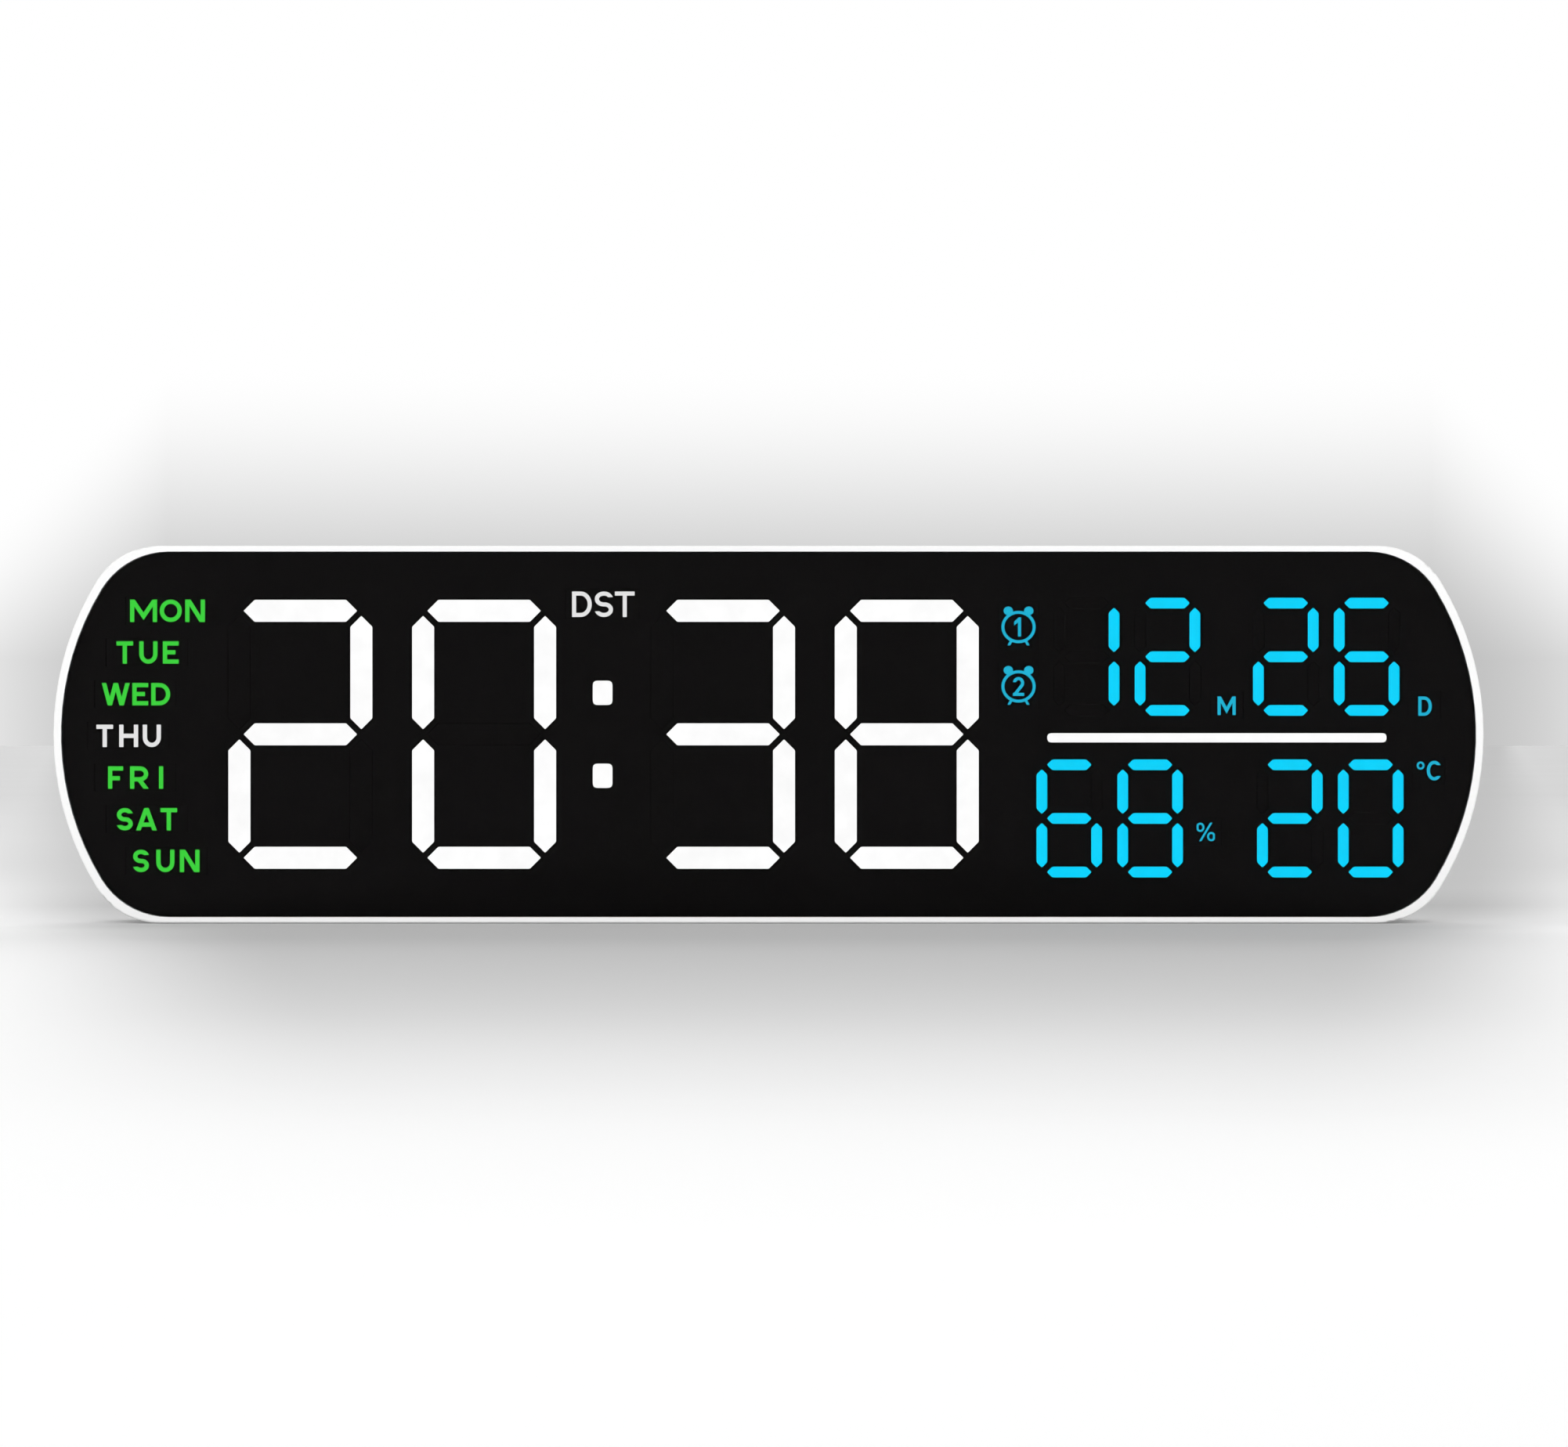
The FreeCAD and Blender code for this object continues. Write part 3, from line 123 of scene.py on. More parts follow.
def bar_outline(x, z, length, width, upright, cut):
    """A long hexagon whose ends taper to a point at 45 degrees, run anticlockwise, with eased corners."""
    half, side = length / 2, width / 2
    flat = np.array([(-half, 0), (side - half, -side), (half - side, -side),
                     (half, 0), (half - side, side), (side - half, side)])
    if upright:
        flat = np.stack([-flat[:, 1], flat[:, 0]], axis=1)
    return eased(flat, cut) + (x, z)


def rectangle_outline(x, z, width, height, cut):
    """Four corners run anticlockwise and eased."""
    corners = np.array([(-1, -1), (1, -1), (1, 1), (-1, 1)]) * (width / 2, height / 2)
    return eased(corners, cut, 7) + (x, z)


def slab(outline, front, back):
    """A plain plate of one outline."""
    return carried(outline, [(0, front), (0, back)], True, False)


def stroke(path, width, front, back, closed=False):
    """A flat stroke of even width along a line, or round a closed one."""
    half = width / 2
    return carried(path, [(half, front), (half, back), (-half, back), (-half, front)], closed, True)


def plate(outline, front, back, edge):
    """A plate of one outline: a flat face with a narrow border, an edge rounded by a quarter circle of
    radius edge, at (edge (sin t - 1), front + edge (1 - cos t)), then straight sides."""
    turn = np.linspace(0, pi / 2, 4)
    rounded = np.stack([edge * (np.sin(turn) - 1), front + edge * (1 - np.cos(turn))], axis=1)
    border = (-3 * edge, front)
    return carried(outline, np.concatenate([[border], rounded, [(0, back)]]), True, False)


def piece(name, parts, materials, body, replaces=()):
    """One object from (points, faces, material number) parts, in metres, that rides on a body."""
    mesh = bpy.data.meshes.new(name)
    starts = np.cumsum([0] + [len(part[0]) for part in parts])
    faces = [[index + int(start) for index in face] for part, start in zip(parts, starts) for face in part[1]]
    mesh.from_pydata(np.concatenate([part[0] for part in parts]) * MM, [], faces)
    numbers = np.repeat([part[2] for part in parts], [len(part[1]) for part in parts])
    mesh.polygons.foreach_set("material_index", numbers.astype(np.int32))
    for material in materials:
        mesh.materials.append(material)
    mesh.update()
    thing = bpy.data.objects.new(name, mesh)
    bpy.context.scene.collection.objects.link(thing)
    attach(thing, body)
    if replaces:
        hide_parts(*replaces)


# ---------------------------------------------------------------- materials

def add_node(tree, kind, links=(), plain=(), **settings):
    """Adds a node to a tree; links and plain are (socket, source or value) pairs."""
    made = tree.nodes.new(kind)
    for name, value in settings.items():
        setattr(made, name, value)
    for socket, value in plain:
        made.inputs[socket].default_value = value
    for socket, source in links:
        tree.links.new(source, made.inputs[socket])
    return made


def shaded(colour, share):
    """A share of a colour."""
    return tuple(share * part for part in colour)


class Finish:
    """A material in the making: its nodes, its shader and the object's own coordinates."""

    def __init__(self, name, **plain):
        self.material = bpy.data.materials.new(name)
        self.material.use_nodes = True
        self.tree = self.material.node_tree
        self.shader = self.tree.nodes["Principled BSDF"]
        for socket, value in plain.items():
            self.shader.inputs[socket.replace("_", " ")].default_value = value
        self.place = self.node("ShaderNodeTexCoord").outputs["Object"]

    def node(self, kind, links=(), plain=(), **settings):
        """Adds a node to this material."""
        return add_node(self.tree, kind, links, plain, **settings)

    def noise(self, scale, detail=3.0, stretch=None):
        """Cloudy pattern between 0 and 1; stretch scales it along each axis."""
        place = self.place
        if stretch:
            place = self.node("ShaderNodeMapping", [("Vector", place)], [("Scale", stretch)]).outputs[0]
        return self.node("ShaderNodeTexNoise", [("Vector", place)],
                         [("Scale", scale), ("Detail", detail)]).outputs["Fac"]

    def cells(self, scale):
        """Distance to the nearest of scattered points."""
        points = self.node("ShaderNodeTexVoronoi", [("Vector", self.place)], [("Scale", scale)])
        return points.outputs["Distance"]

    def spread(self, value, low, high, start=0.3, stop=0.7, kind="LINEAR"):
        """Maps start..stop of a pattern to low..high."""
        return self.node("ShaderNodeMapRange", [("Value", value)],
                         [("From Min", start), ("From Max", stop), ("To Min", low), ("To Max", high)],
                         interpolation_type=kind).outputs[0]

    def blend(self, amount, first, second):
        """Colour between two, each a plain colour or a socket."""
        mix = self.node("ShaderNodeMix", [("Factor", amount)], data_type="RGBA")
        for socket, colour in ((6, first), (7, second)):
            if isinstance(colour, tuple):
                mix.inputs[socket].default_value = (*colour, 1)
            else:
                self.tree.links.new(colour, mix.inputs[socket])
        return mix.outputs[2]

    def math(self, kind, first, second=0.0):
        """One sum, each side of it a number or a socket."""
        numbers, sources = [], []
        for side in enumerate((first, second)):
            (numbers if isinstance(side[1], (int, float)) else sources).append(side)
        return self.node("ShaderNodeMath", sources, numbers, operation=kind).outputs[0]

    def product(self, *values):
        """All the values multiplied."""
        return reduce(lambda total, value: self.math("MULTIPLY", total, value), values)

    def axes(self):
        """The object's X, Y and Z."""
        return self.node("ShaderNodeSeparateXYZ", [("Vector", self.place)]).outputs

    def give(self, **sources):
        """Links patterns to the shader's sockets."""
        for socket, source in sources.items():
            self.tree.links.new(source, self.shader.inputs[socket.replace("_", " ")])

    def relief(self, height, depth, strength=1.0):
        """Bumps of a height pattern, depth in metres."""
        bump = self.node("ShaderNodeBump", [("Height", height)],
                         [("Distance", depth), ("Strength", strength)])
        self.give(Normal=bump.outputs[0])


def polished_shell():
    """Glossy white plastic: faint clouding, and a very fine waviness in its shine."""
    look = Finish("polished white shell", IOR=1.5)
    look.give(Base_Color=look.blend(look.noise(60.0), (0.88, 0.88, 0.875), (0.92, 0.92, 0.92)),
              Roughness=look.spread(look.noise(300.0), 0.32, 0.4))
    look.relief(look.noise(180.0, 1.0), 0.000006)
    return look.material


def grained_shell():
    """Satin white plastic with the fine pitted grain of an etched mould."""
    look = Finish("grained white shell", IOR=1.5)
    pits = look.cells(1500.0)
    look.give(Base_Color=look.blend(look.noise(45.0), (0.80, 0.80, 0.79), (0.86, 0.86, 0.855)),
              Roughness=look.spread(pits, 0.42, 0.6, 0.0, 0.6))
    look.relief(look.math("ADD", pits, look.noise(2600.0)), 0.00006, 0.6)
    return look.material


def smoked_window():
    """Smoke-tinted clear plastic with an anti-glare coat and a trace of haze."""
    look = Finish("smoked window", IOR=1.49, Transmission_Weight=1.0, Specular_Tint=(0.05, 0.05, 0.05, 1))
    look.give(Base_Color=look.blend(look.noise(30.0), (0.80, 0.80, 0.80), (0.84, 0.84, 0.84)),
              Roughness=look.spread(look.noise(40.0), 0.0, 0.004))
    return look.material


def black_film():
    """Matt black film with a soot-fine grain."""
    look = Finish("black film", Specular_IOR_Level=0.0)
    look.give(Base_Color=look.blend(look.noise(3000.0), (0.0080, 0.0069, 0.0072), (0.0092, 0.0080, 0.0083)),
              Roughness=look.spread(look.noise(800.0), 0.6, 0.8))
    look.relief(look.noise(4000.0), 0.00001)
    return look.material


# Lowest share of a lit skin's colour and of its strength, and the shares of colour in its dark sides.
GLOW_CLOUD, GLOW_DIP, SIDE_SHARE = 0.97, 0.95, (0.01, 0.014)


def milky_light(name, colour, peak):
    """Milky tinted plastic with a lit skin: an even glow, a little cloudy, in front of its dark sides."""
    look = Finish(name, Specular_IOR_Level=0.1, Roughness=0.4)
    skin = look.math("LESS_THAN", look.axes()[1], GLOW_BACK * MM)
    strength = look.spread(look.noise(220.0, 2.0), GLOW_DIP * peak, peak)
    look.give(Emission_Color=look.blend(look.noise(90.0), colour, shaded(colour, GLOW_CLOUD)),
              Emission_Strength=look.math("MULTIPLY", strength, skin),
              Base_Color=look.blend(look.noise(1200.0), *[shaded(colour, share) for share in SIDE_SHARE]))
    return look.material


def plain_plastic(name, dark, light, rough, grain=1800.0):
    """Moulded plastic: two close tones, and a fine grain in the relief and the shine."""
    look = Finish(name, IOR=1.48)
    texture = look.noise(grain, 4.0)
    look.give(Base_Color=look.blend(look.noise(70.0), dark, light),
              Roughness=look.spread(texture, rough - 0.07, rough + 0.07))
    look.relief(texture, 0.00004)
    return look.material


# The reflector is printed black as far back as this.
PRINT_BACK = BAR_BACK + 0.05


def reflector():
    """White moulded reflector whose front face is printed black."""
    look = Finish("white reflector", Specular_IOR_Level=0.3)
    grain = look.noise(1800.0)
    inside = look.math("GREATER_THAN", look.axes()[1], PRINT_BACK * MM)
    white = look.blend(look.noise(60.0), (0.78, 0.78, 0.76), (0.86, 0.86, 0.84))
    look.give(Base_Color=look.blend(inside, (0.004, 0.004, 0.004), white),
              Roughness=look.spread(grain, 0.45, 0.6))
    look.relief(grain, 0.00003)
    return look.material


def metal(name, dark, light, rough, stretch=None, scale=900.0):
    """Plated metal with fine lines or specks left by its forming."""
    look = Finish(name, Metallic=1.0)
    lines = look.noise(scale, 4.0, stretch)
    look.give(Base_Color=look.blend(lines, dark, light),
              Roughness=look.spread(lines, rough - 0.08, rough + 0.12))
    look.relief(lines, 0.00001)
    return look.material


# Half pitch of the board's tracks and where in it the copper starts, in metres.
TRACKS_ACROSS, TRACKS_UP = (0.0012, 0.0007), (0.0017, 0.0011)


def circuit_green():
    """Solder mask over copper: bands of tracks that run across and up the board, and a fine weave.

    A band is where the distance to the nearest of evenly spaced lines is over its second value. Patches
    of cloudy noise choose between the two directions.
    """
    look = Finish("circuit green", IOR=1.5, Coat_Weight=0.3, Coat_Roughness=0.2)
    x, _, z = look.axes()
    bands = [look.math("GREATER_THAN", look.math("PINGPONG", place, half), copper)
             for place, (half, copper) in ((x, TRACKS_ACROSS), (z, TRACKS_UP))]
    patch = look.math("GREATER_THAN", look.noise(70.0, 0.0), 0.5)
    tracks = look.math("ADD", look.product(bands[0], patch),
                       look.product(bands[1], look.math("SUBTRACT", 1.0, patch)))
    look.give(Base_Color=look.blend(tracks, (0.006, 0.07, 0.028), (0.012, 0.14, 0.05)),
              Roughness=look.spread(look.noise(2500.0), 0.25, 0.4))
    look.relief(tracks, 0.00004)
    return look.material


WHITE_LIGHT = milky_light("white light", (1.0, 1.0, 1.0), 1.24)
BLUE_LIGHT = milky_light("blue light", (0.0, 0.665, 1.0), 1.22)
DIM_BLUE_LIGHT = milky_light("soft blue light", (0.017, 0.68, 1.0), 0.82)
GREEN_LIGHT = milky_light("green light", (0.07, 1.0, 0.07), 0.8)
LABEL_WHITE = milky_light("label white light", (0.9, 0.9, 0.9), 1.09)
BLACK_FILM = black_film()
SATIN_WHITE = grained_shell()
STEEL = metal("zinc-plated steel", (0.50, 0.50, 0.52), (0.66, 0.66, 0.68), 0.34)
TIN = metal("plated tin", (0.58, 0.58, 0.59), (0.74, 0.74, 0.75), 0.26, (1.0, 1.0, 6.0))
BLACK_PLASTIC = plain_plastic("moulded black plastic", (0.012, 0.012, 0.013), (0.02, 0.02, 0.021), 0.45)
GREY_KEYS = plain_plastic("light grey keys", (0.42, 0.43, 0.44), (0.5, 0.51, 0.52), 0.42)
KEY_PRINT = plain_plastic("dark grey key print", (0.035, 0.036, 0.038), (0.05, 0.051, 0.053), 0.55)
CHIPS = plain_plastic("moulded chip resin", (0.012, 0.012, 0.014), (0.022, 0.022, 0.024), 0.55, 3000.0)

NODE_FINISH = {
    "front_bezel": polished_shell(),
    "rear_cover": SATIN_WHITE,
    "stand_leg_left": SATIN_WHITE,
    "stand_leg_right": SATIN_WHITE,
    "battery_door": SATIN_WHITE,
    "front_lens": smoked_window(),
    "display_mask": BLACK_FILM,
    "weekday_labels": BLACK_FILM,
    "summer_time_label": BLACK_FILM,
    "alarm_labels": BLACK_FILM,
    "unit_labels": BLACK_FILM,
    "light_baffle": reflector(),
    "display_board": circuit_green(),
    "segment_lamps": plain_plastic("lamp resin", (0.62, 0.58, 0.22), (0.78, 0.74, 0.34), 0.25),
    "clock_chip": CHIPS,
    "driver_chips": CHIPS,
    "climate_sensor": CHIPS,
    "clock_crystal": TIN,
    "usb_inlet": TIN,
    "coin_cell": metal("coin cell can", (0.55, 0.55, 0.56), (0.72, 0.72, 0.73), 0.3, None, 400.0),
    "cell_contact": metal("sprung brass contact", (0.62, 0.47, 0.2), (0.78, 0.62, 0.3), 0.3, (8.0, 1.0, 1.0)),
    "alarm_buzzer": BLACK_PLASTIC,
    "key_switches": BLACK_PLASTIC,
    "cell_holder": BLACK_PLASTIC,
    "usb_inlet_tongue": BLACK_PLASTIC,
    "case_screws": STEEL,
    "board_screws": STEEL,
    "battery_door_screw": STEEL,
    "hinge_pin_left": STEEL,
    "hinge_pin_right": STEEL,
}
for key in ("set", "plus", "minus", "alarm"):
    NODE_FINISH[f"{key}_key"] = GREY_KEYS
    NODE_FINISH[f"{key}_key_stem"] = BLACK_PLASTIC
for node, finish in NODE_FINISH.items():
    mesh = NODES[node].data
    if not mesh.materials:
        mesh.materials.append(finish)
    for number in range(len(mesh.materials)):
        mesh.materials[number] = finish


# ---------------------------------------------------------------- lit digits

# Which of the seven bars each numeral lights: top, middle, bottom, then left and right, upper first.
LIT_BARS = {
    "0": (1, 0, 1, 1, 1, 1, 1), "1": (0, 0, 0, 0, 0, 1, 1), "2": (1, 1, 1, 0, 1, 1, 0),
    "3": (1, 1, 1, 0, 0, 1, 1), "6": (1, 1, 1, 1, 1, 0, 1), "8": (1, 1, 1, 1, 1, 1, 1),
}
# Rise and spread between bar middles, the bars' length and width, and the easing of their corners.
LARGE = {"rise": 32.0, "spread": 31.6, "length": 29.4, "width": 5.7, "cut": 0.25}
SMALL = {"rise": 13.9, "spread": 14.2, "length": 11.6, "width": 2.76, "cut": 0.42}
# Middle of each pair's first digit and the step to its second, and the rows above the face's middle.
HOUR_X, MINUTE_X, LARGE_STEP, TIME_ROW = -121.3, -11.8, 47.6, 0.0
MONTH_X, DAY_X, HUMIDITY_X, TEMPERATURE_X, SMALL_STEP = 82.4, 134.0, 77.9, 135.05, 20.95
DATE_ROW, CLIMATE_ROW = 20.1, -21.8

# Node: kind, row, material, slot and the (x, numeral) of each digit.
DIGITS = {
    "hour_tens_segments": (LARGE, TIME_ROW, WHITE_LIGHT, "white_light", [(HOUR_X, "2")]),
    "hour_units_segments": (LARGE, TIME_ROW, WHITE_LIGHT, "white_light", [(HOUR_X + LARGE_STEP, "0")]),
    "minute_tens_segments": (LARGE, TIME_ROW, WHITE_LIGHT, "white_light", [(MINUTE_X, "3")]),
    "minute_units_segments": (LARGE, TIME_ROW, WHITE_LIGHT, "white_light", [(MINUTE_X + LARGE_STEP, "8")]),
    "month_segments": (SMALL, DATE_ROW, BLUE_LIGHT, "blue_light",
                       [(MONTH_X, "1"), (MONTH_X + SMALL_STEP, "2")]),
    "day_segments": (SMALL, DATE_ROW, BLUE_LIGHT, "blue_light",
                     [(DAY_X, "2"), (DAY_X + SMALL_STEP, "6")]),
    "humidity_segments": (SMALL, CLIMATE_ROW, BLUE_LIGHT, "blue_light",
                          [(HUMIDITY_X, "6"), (HUMIDITY_X + SMALL_STEP, "8")]),
    "temperature_segments": (SMALL, CLIMATE_ROW, BLUE_LIGHT, "blue_light",
                             [(TEMPERATURE_X, "2"), (TEMPERATURE_X + SMALL_STEP, "0")]),
}


def digit_bars(size, x, row):
    """Outline of each of the seven bars, in the order of LIT_BARS."""
    flat = [(0, level, False) for level in (1, 0, -1)]
    upright = [(side, level / 2, True) for side in (-0.5, 0.5) for level in (1, -1)]
    return [bar_outline(x + side * size["spread"], MIDDLE + row + level * size["rise"],
                        size["length"], size["width"], stands, size["cut"])
            for side, level, stands in flat + upright]


for node, (size, row, light, slot, digits) in DIGITS.items():
    parts = []
    for x, numeral in digits:
        for outline, lit in zip(digit_bars(size, x, row), LIT_BARS[numeral]):
            parts.append((*plate(outline, BAR_FRONT, BAR_BACK, BAR_EDGE), 0 if lit else 1))
    piece(node.replace("_segments", "_digits"), parts, [light, BLACK_FILM], "case", [node])

# Colon dots and divider: middle, rise or row, width and height, and the easing of their corners.
COLON_X, COLON_RISE, COLON_SIZE, COLON_CUT = -43.0, 10.75, (5.1, 6.3), 1.3
DIVIDER_X, DIVIDER_ROW, DIVIDER_SIZE, DIVIDER_CUT = 116.15, -0.9, (87.9, 2.4), 1.19
COLON = [rectangle_outline(COLON_X, MIDDLE + side * COLON_RISE, *COLON_SIZE, COLON_CUT)
         for side in (1, -1)]
DIVIDER = [rectangle_outline(DIVIDER_X, MIDDLE + DIVIDER_ROW, *DIVIDER_SIZE, DIVIDER_CUT)]
for name, outlines, node in (("colon_lights", COLON, "colon_dots"),
                             ("divider_light", DIVIDER, "divider_bar")):
    parts = [(*plate(outline, BAR_FRONT, BAR_BACK, BAR_EDGE), 0) for outline in outlines]
    piece(name, parts, [WHITE_LIGHT], "case", [node])


# ---------------------------------------------------------------- words and signs

# A stroke's places are shares of its letter's width and height: 0 and 1 are where a stroke along the
# letter's edge has its middle, and -1 and 2 are the edges themselves.

def letter_strokes(letter):
    """The middle lines of one letter, each as (points, closed)."""
    stem_left, stem_right = [(0, -1), (0, 2)], [(1, -1), (1, 2)]
    strokes = {
        "M": [stem_left, stem_right, [(0.0, 2), (0.5, 0.2), (1.0, 2)]],
        "N": [stem_left, stem_right, [(0.05, 2), (0.95, -1)]],
        "T": [[(-1, 1), (2, 1)], [(0.5, -1), (0.5, 1)]],
        "U": [[(0, 2), (0, 0.42), *arc((0.5, 0.42), (0.5, 0.42), 180, 360)[1:-1], (1, 0.42), (1, 2)]],
        "E": [stem_left, [(0, 1), (2, 1)], [(0, 0.51), (0.9, 0.51)], [(0, 0), (2, 0)]],
        "W": [[(0.0, 2), (0.25, -1)], [(0.25, -1), (0.5, 2)], [(0.5, 2), (0.75, -1)], [(0.75, -1), (1.0, 2)]],
        "H": [stem_left, stem_right, [(0, 0.5), (1, 0.5)]],
        "F": [stem_left, [(0, 1), (2, 1)], [(0, 0.46), (0.9, 0.46)]],
        "R": [stem_left,
              [(0, 1), (0.55, 1), *arc((0.55, 0.7), (0.45, 0.3), 90, -90)[1:-1], (0.55, 0.4), (0, 0.4)],
              [(0.5, 0.4), (1.0, -1)]],
        "I": [[(0.5, -1), (0.5, 2)]],
        "S": [np.concatenate([arc((0.5, 0.745), (0.5, 0.255), 20, 270, 20),
                              arc((0.5, 0.25), (0.5, 0.25), 90, -160, 20)[1:]])],
        "A": [[(0, -1), (0.5, 2)], [(0.5, 2), (1, -1)], [(0.15, 0.2), (0.85, 0.2)]],
        "C": [arc((0.5, 0.5), (0.5, 0.5), 42, 318, 32)],
        "1": [[(0.62, -1), (0.62, 2)], [(-0.2, 0.72), (0.62, 1.05)]],
        "2": [np.concatenate([arc((0.5, 0.72), (0.5, 0.28), 170, -30, 20), [(0.05, 0.0)]]),
              [(-1, 0), (2, 0)]],
        "%": [[(0.16, -1), (0.84, 2)]],
    }.get(letter, [])
    rings = {
        "O": [arc((0.5, 0.5), (0.5, 0.5), 0, 360, 41)[:-1]],
        "D": [[(0, 0), (0.42, 0), *arc((0.42, 0.5), (0.58, 0.5), -90, 90)[1:-1], (0.42, 1), (0, 1)]],
        "%": [arc(middle, (0.2, 0.22), 0, 360, 21)[:-1] for middle in ((0.16, 0.78), (0.84, 0.22))],
    }.get(letter, [])
    return [(line, False) for line in strokes] + [(ring, True) for ring in rings]


LETTER_BEVEL = 0.03


def letter_parts(letter, box, width, front, back):
    """Strokes of one letter in its box (left, right, bottom, top), with a fine bevel round the front."""
    left, right, bottom, top = box
    half, bevel = width / 2, LETTER_BEVEL
    profile = [(half, front + bevel), (half, back), (-half, back), (-half, front + bevel),
               (bevel - half, front), (half - bevel, front)]
    parts = []
    for points, closed in letter_strokes(letter):
        points = np.asarray(points, float)
        x = np.interp(points[:, 0], [-1, 0, 1, 2], [left, left + half, right - half, right])
        z = np.interp(points[:, 1], [-1, 0, 1, 2], [bottom, bottom + half, top - half, top])
        parts.append((*carried(np.stack([x, z], axis=1), profile, closed, True), 0))
    return parts


# Widths of the weekdays' capitals, and each weekday with its letters' left edges.
CAPITALS = {"A": 5.3, "D": 4.9, "E": 4.1, "F": 3.9, "H": 4.9, "I": 1.5, "M": 7.0, "N": 5.1, "O": 5.7,
            "R": 4.7, "S": 4.1, "T": 4.3, "U": 4.7, "W": 7.2}
WEEKDAYS = {
    "mon_word": ("MON", (-165.4, -157.7, -151.1)),
    "tue_word": ("TUE", (-168.9, -163.0, -156.9)),
    "wed_word": ("WED", (-172.7, -164.8, -159.9)),
    "thu_word": ("THU", (-174.1, -168.2, -162.1)),
    "fri_word": ("FRI", (-171.1, -165.4, -158.1)),
    "sat_word": ("SAT", (-168.8, -163.8, -157.5)),
    "sun_word": ("SUN", (-164.6, -158.6, -152.5)),
}
# Height of the weekdays' capitals, Z of the middle weekday and the step between two.
WEEKDAY_HEIGHT, MIDWEEK_Z, WEEKDAY_STEP = 5.8, 48.4, 10.8
# Other words and signs: (letter, left edge, width) of each letter, middle height and letter height.
SUMMER_TIME = ([("D", -50.9, 5.1), ("S", -45.0, 4.7), ("T", -39.8, 5.1)], 82.5, 6.6)
UNITS = {
    "month_sign": ([("M", 116.3, 4.7)], 56.2, 4.8),
    "day_sign": ([("D", 168.3, 3.5)], 56.1, 5.0),
    "humidity_sign": ([("%", 110.9, 4.7)], 23.5, 4.8),
    "celsius_sign": ([("C", 170.5, 3.9)], 39.4, 5.1),
}
# The ring of the degree sign, the front of all letters and signs, and the widths of their strokes.
DEGREE_MIDDLE, DEGREE_SIZE = (168.9, 40.7), (0.75, 0.8)
LETTER_FRONT = BAR_FRONT - 0.1
WORD_STROKE, SUMMER_STROKE, SIGN_STROKE, PERCENT_STROKE, DEGREE_STROKE = 1.1, 1.05, 0.82, 0.5, 0.5


def word_parts(letters, middle, height, width):
    """The letters of a word, each in its own box, with strokes of a width."""
    return [part for letter, left, across in letters
            for part in letter_parts(letter, (left, left + across, middle - height / 2, middle + height / 2),
                                     width, LETTER_FRONT, BAR_FRONT)]


for number, (name, (word, lefts)) in enumerate(WEEKDAYS.items()):
    light, slot = (LABEL_WHITE, "white_light") if name == "thu_word" else (GREEN_LIGHT, "green_light")
    letters = [(letter, left, CAPITALS[letter]) for letter, left in zip(word, lefts)]
    middle = MIDWEEK_Z + (len(WEEKDAYS) // 2 - number) * WEEKDAY_STEP
    parts = word_parts(letters, middle, WEEKDAY_HEIGHT, WORD_STROKE)
    piece(name, parts, [light], "case")
piece("summer_time_word", word_parts(*SUMMER_TIME, SUMMER_STROKE), [LABEL_WHITE], "case")

for name, sign in UNITS.items():
    parts = word_parts(*sign, PERCENT_STROKE if name == "humidity_sign" else SIGN_STROKE)
    if name == "celsius_sign":
        degree = arc(DEGREE_MIDDLE, DEGREE_SIZE, 0, 360, 33)[:-1]
        parts.append((*stroke(degree, DEGREE_STROKE, LETTER_FRONT, BAR_FRONT, True), 0))
    piece(name, parts, [DIM_BLUE_LIGHT], "case")


# The bell-clock sign in shares of its ring's radius: the ring's height, the bells' places and sizes,
# and the top and tip of a foot; and a foot's stroke as a share of the ring's.
RING_HEIGHT, BELL_OUT, BELL_UP, BELL_WIDTH, BELL_HEIGHT = 0.94, 0.655, 1.035, 0.3, 0.275
FOOT_TOP, FOOT_TIP, FOOT_STROKE = (0.42, -0.815), (0.62, -1.17), 0.85


def alarm_sign(x, z, size, width, front, back):
    """A bell clock of a given ring radius: a ring with two round bells on top and two feet."""
    ring = arc((x, z), (size, RING_HEIGHT * size), 0, 360, 49)[:-1]
    shapes = [stroke(ring, width, front, back, True)]
    for side in (-1, 1):
        middle = (x + side * BELL_OUT * size, z + BELL_UP * size)
        bell = arc(middle, (BELL_WIDTH * size, BELL_HEIGHT * size), 0, 360, 25)[:-1]
        shapes.append(slab(bell, front, back))
        foot = [(x + side * across * size, z + up * size) for across, up in (FOOT_TOP, FOOT_TIP)]
        shapes.append(stroke(foot, FOOT_STROKE * width, front, back))
    return [(*shape, 0) for shape in shapes]


# The alarm signs' X, ring radius and stroke, and half the width and height of a numeral and its stroke.
ALARM_X, ALARM_SIZE, ALARM_STROKE = 64.75, 4.05, 0.75
NUMERAL_REACH, NUMERAL_RISE, NUMERAL_STROKE = 1.45, 2.45, 0.8
# Name: numeral and middle height.
ALARMS = {"first_alarm_sign": ("1", 76.6), "second_alarm_sign": ("2", 61.2)}
for name, (numeral, z) in ALARMS.items():
    box = (ALARM_X - NUMERAL_REACH, ALARM_X + NUMERAL_REACH, z - NUMERAL_RISE, z + NUMERAL_RISE)
    parts = alarm_sign(ALARM_X, z, ALARM_SIZE, ALARM_STROKE, LETTER_FRONT, BAR_FRONT)
    parts += letter_parts(numeral, box, NUMERAL_STROKE, LETTER_FRONT, BAR_FRONT)
    piece(name, parts, [DIM_BLUE_LIGHT], "case")


# ---------------------------------------------------------------- signs on the keys

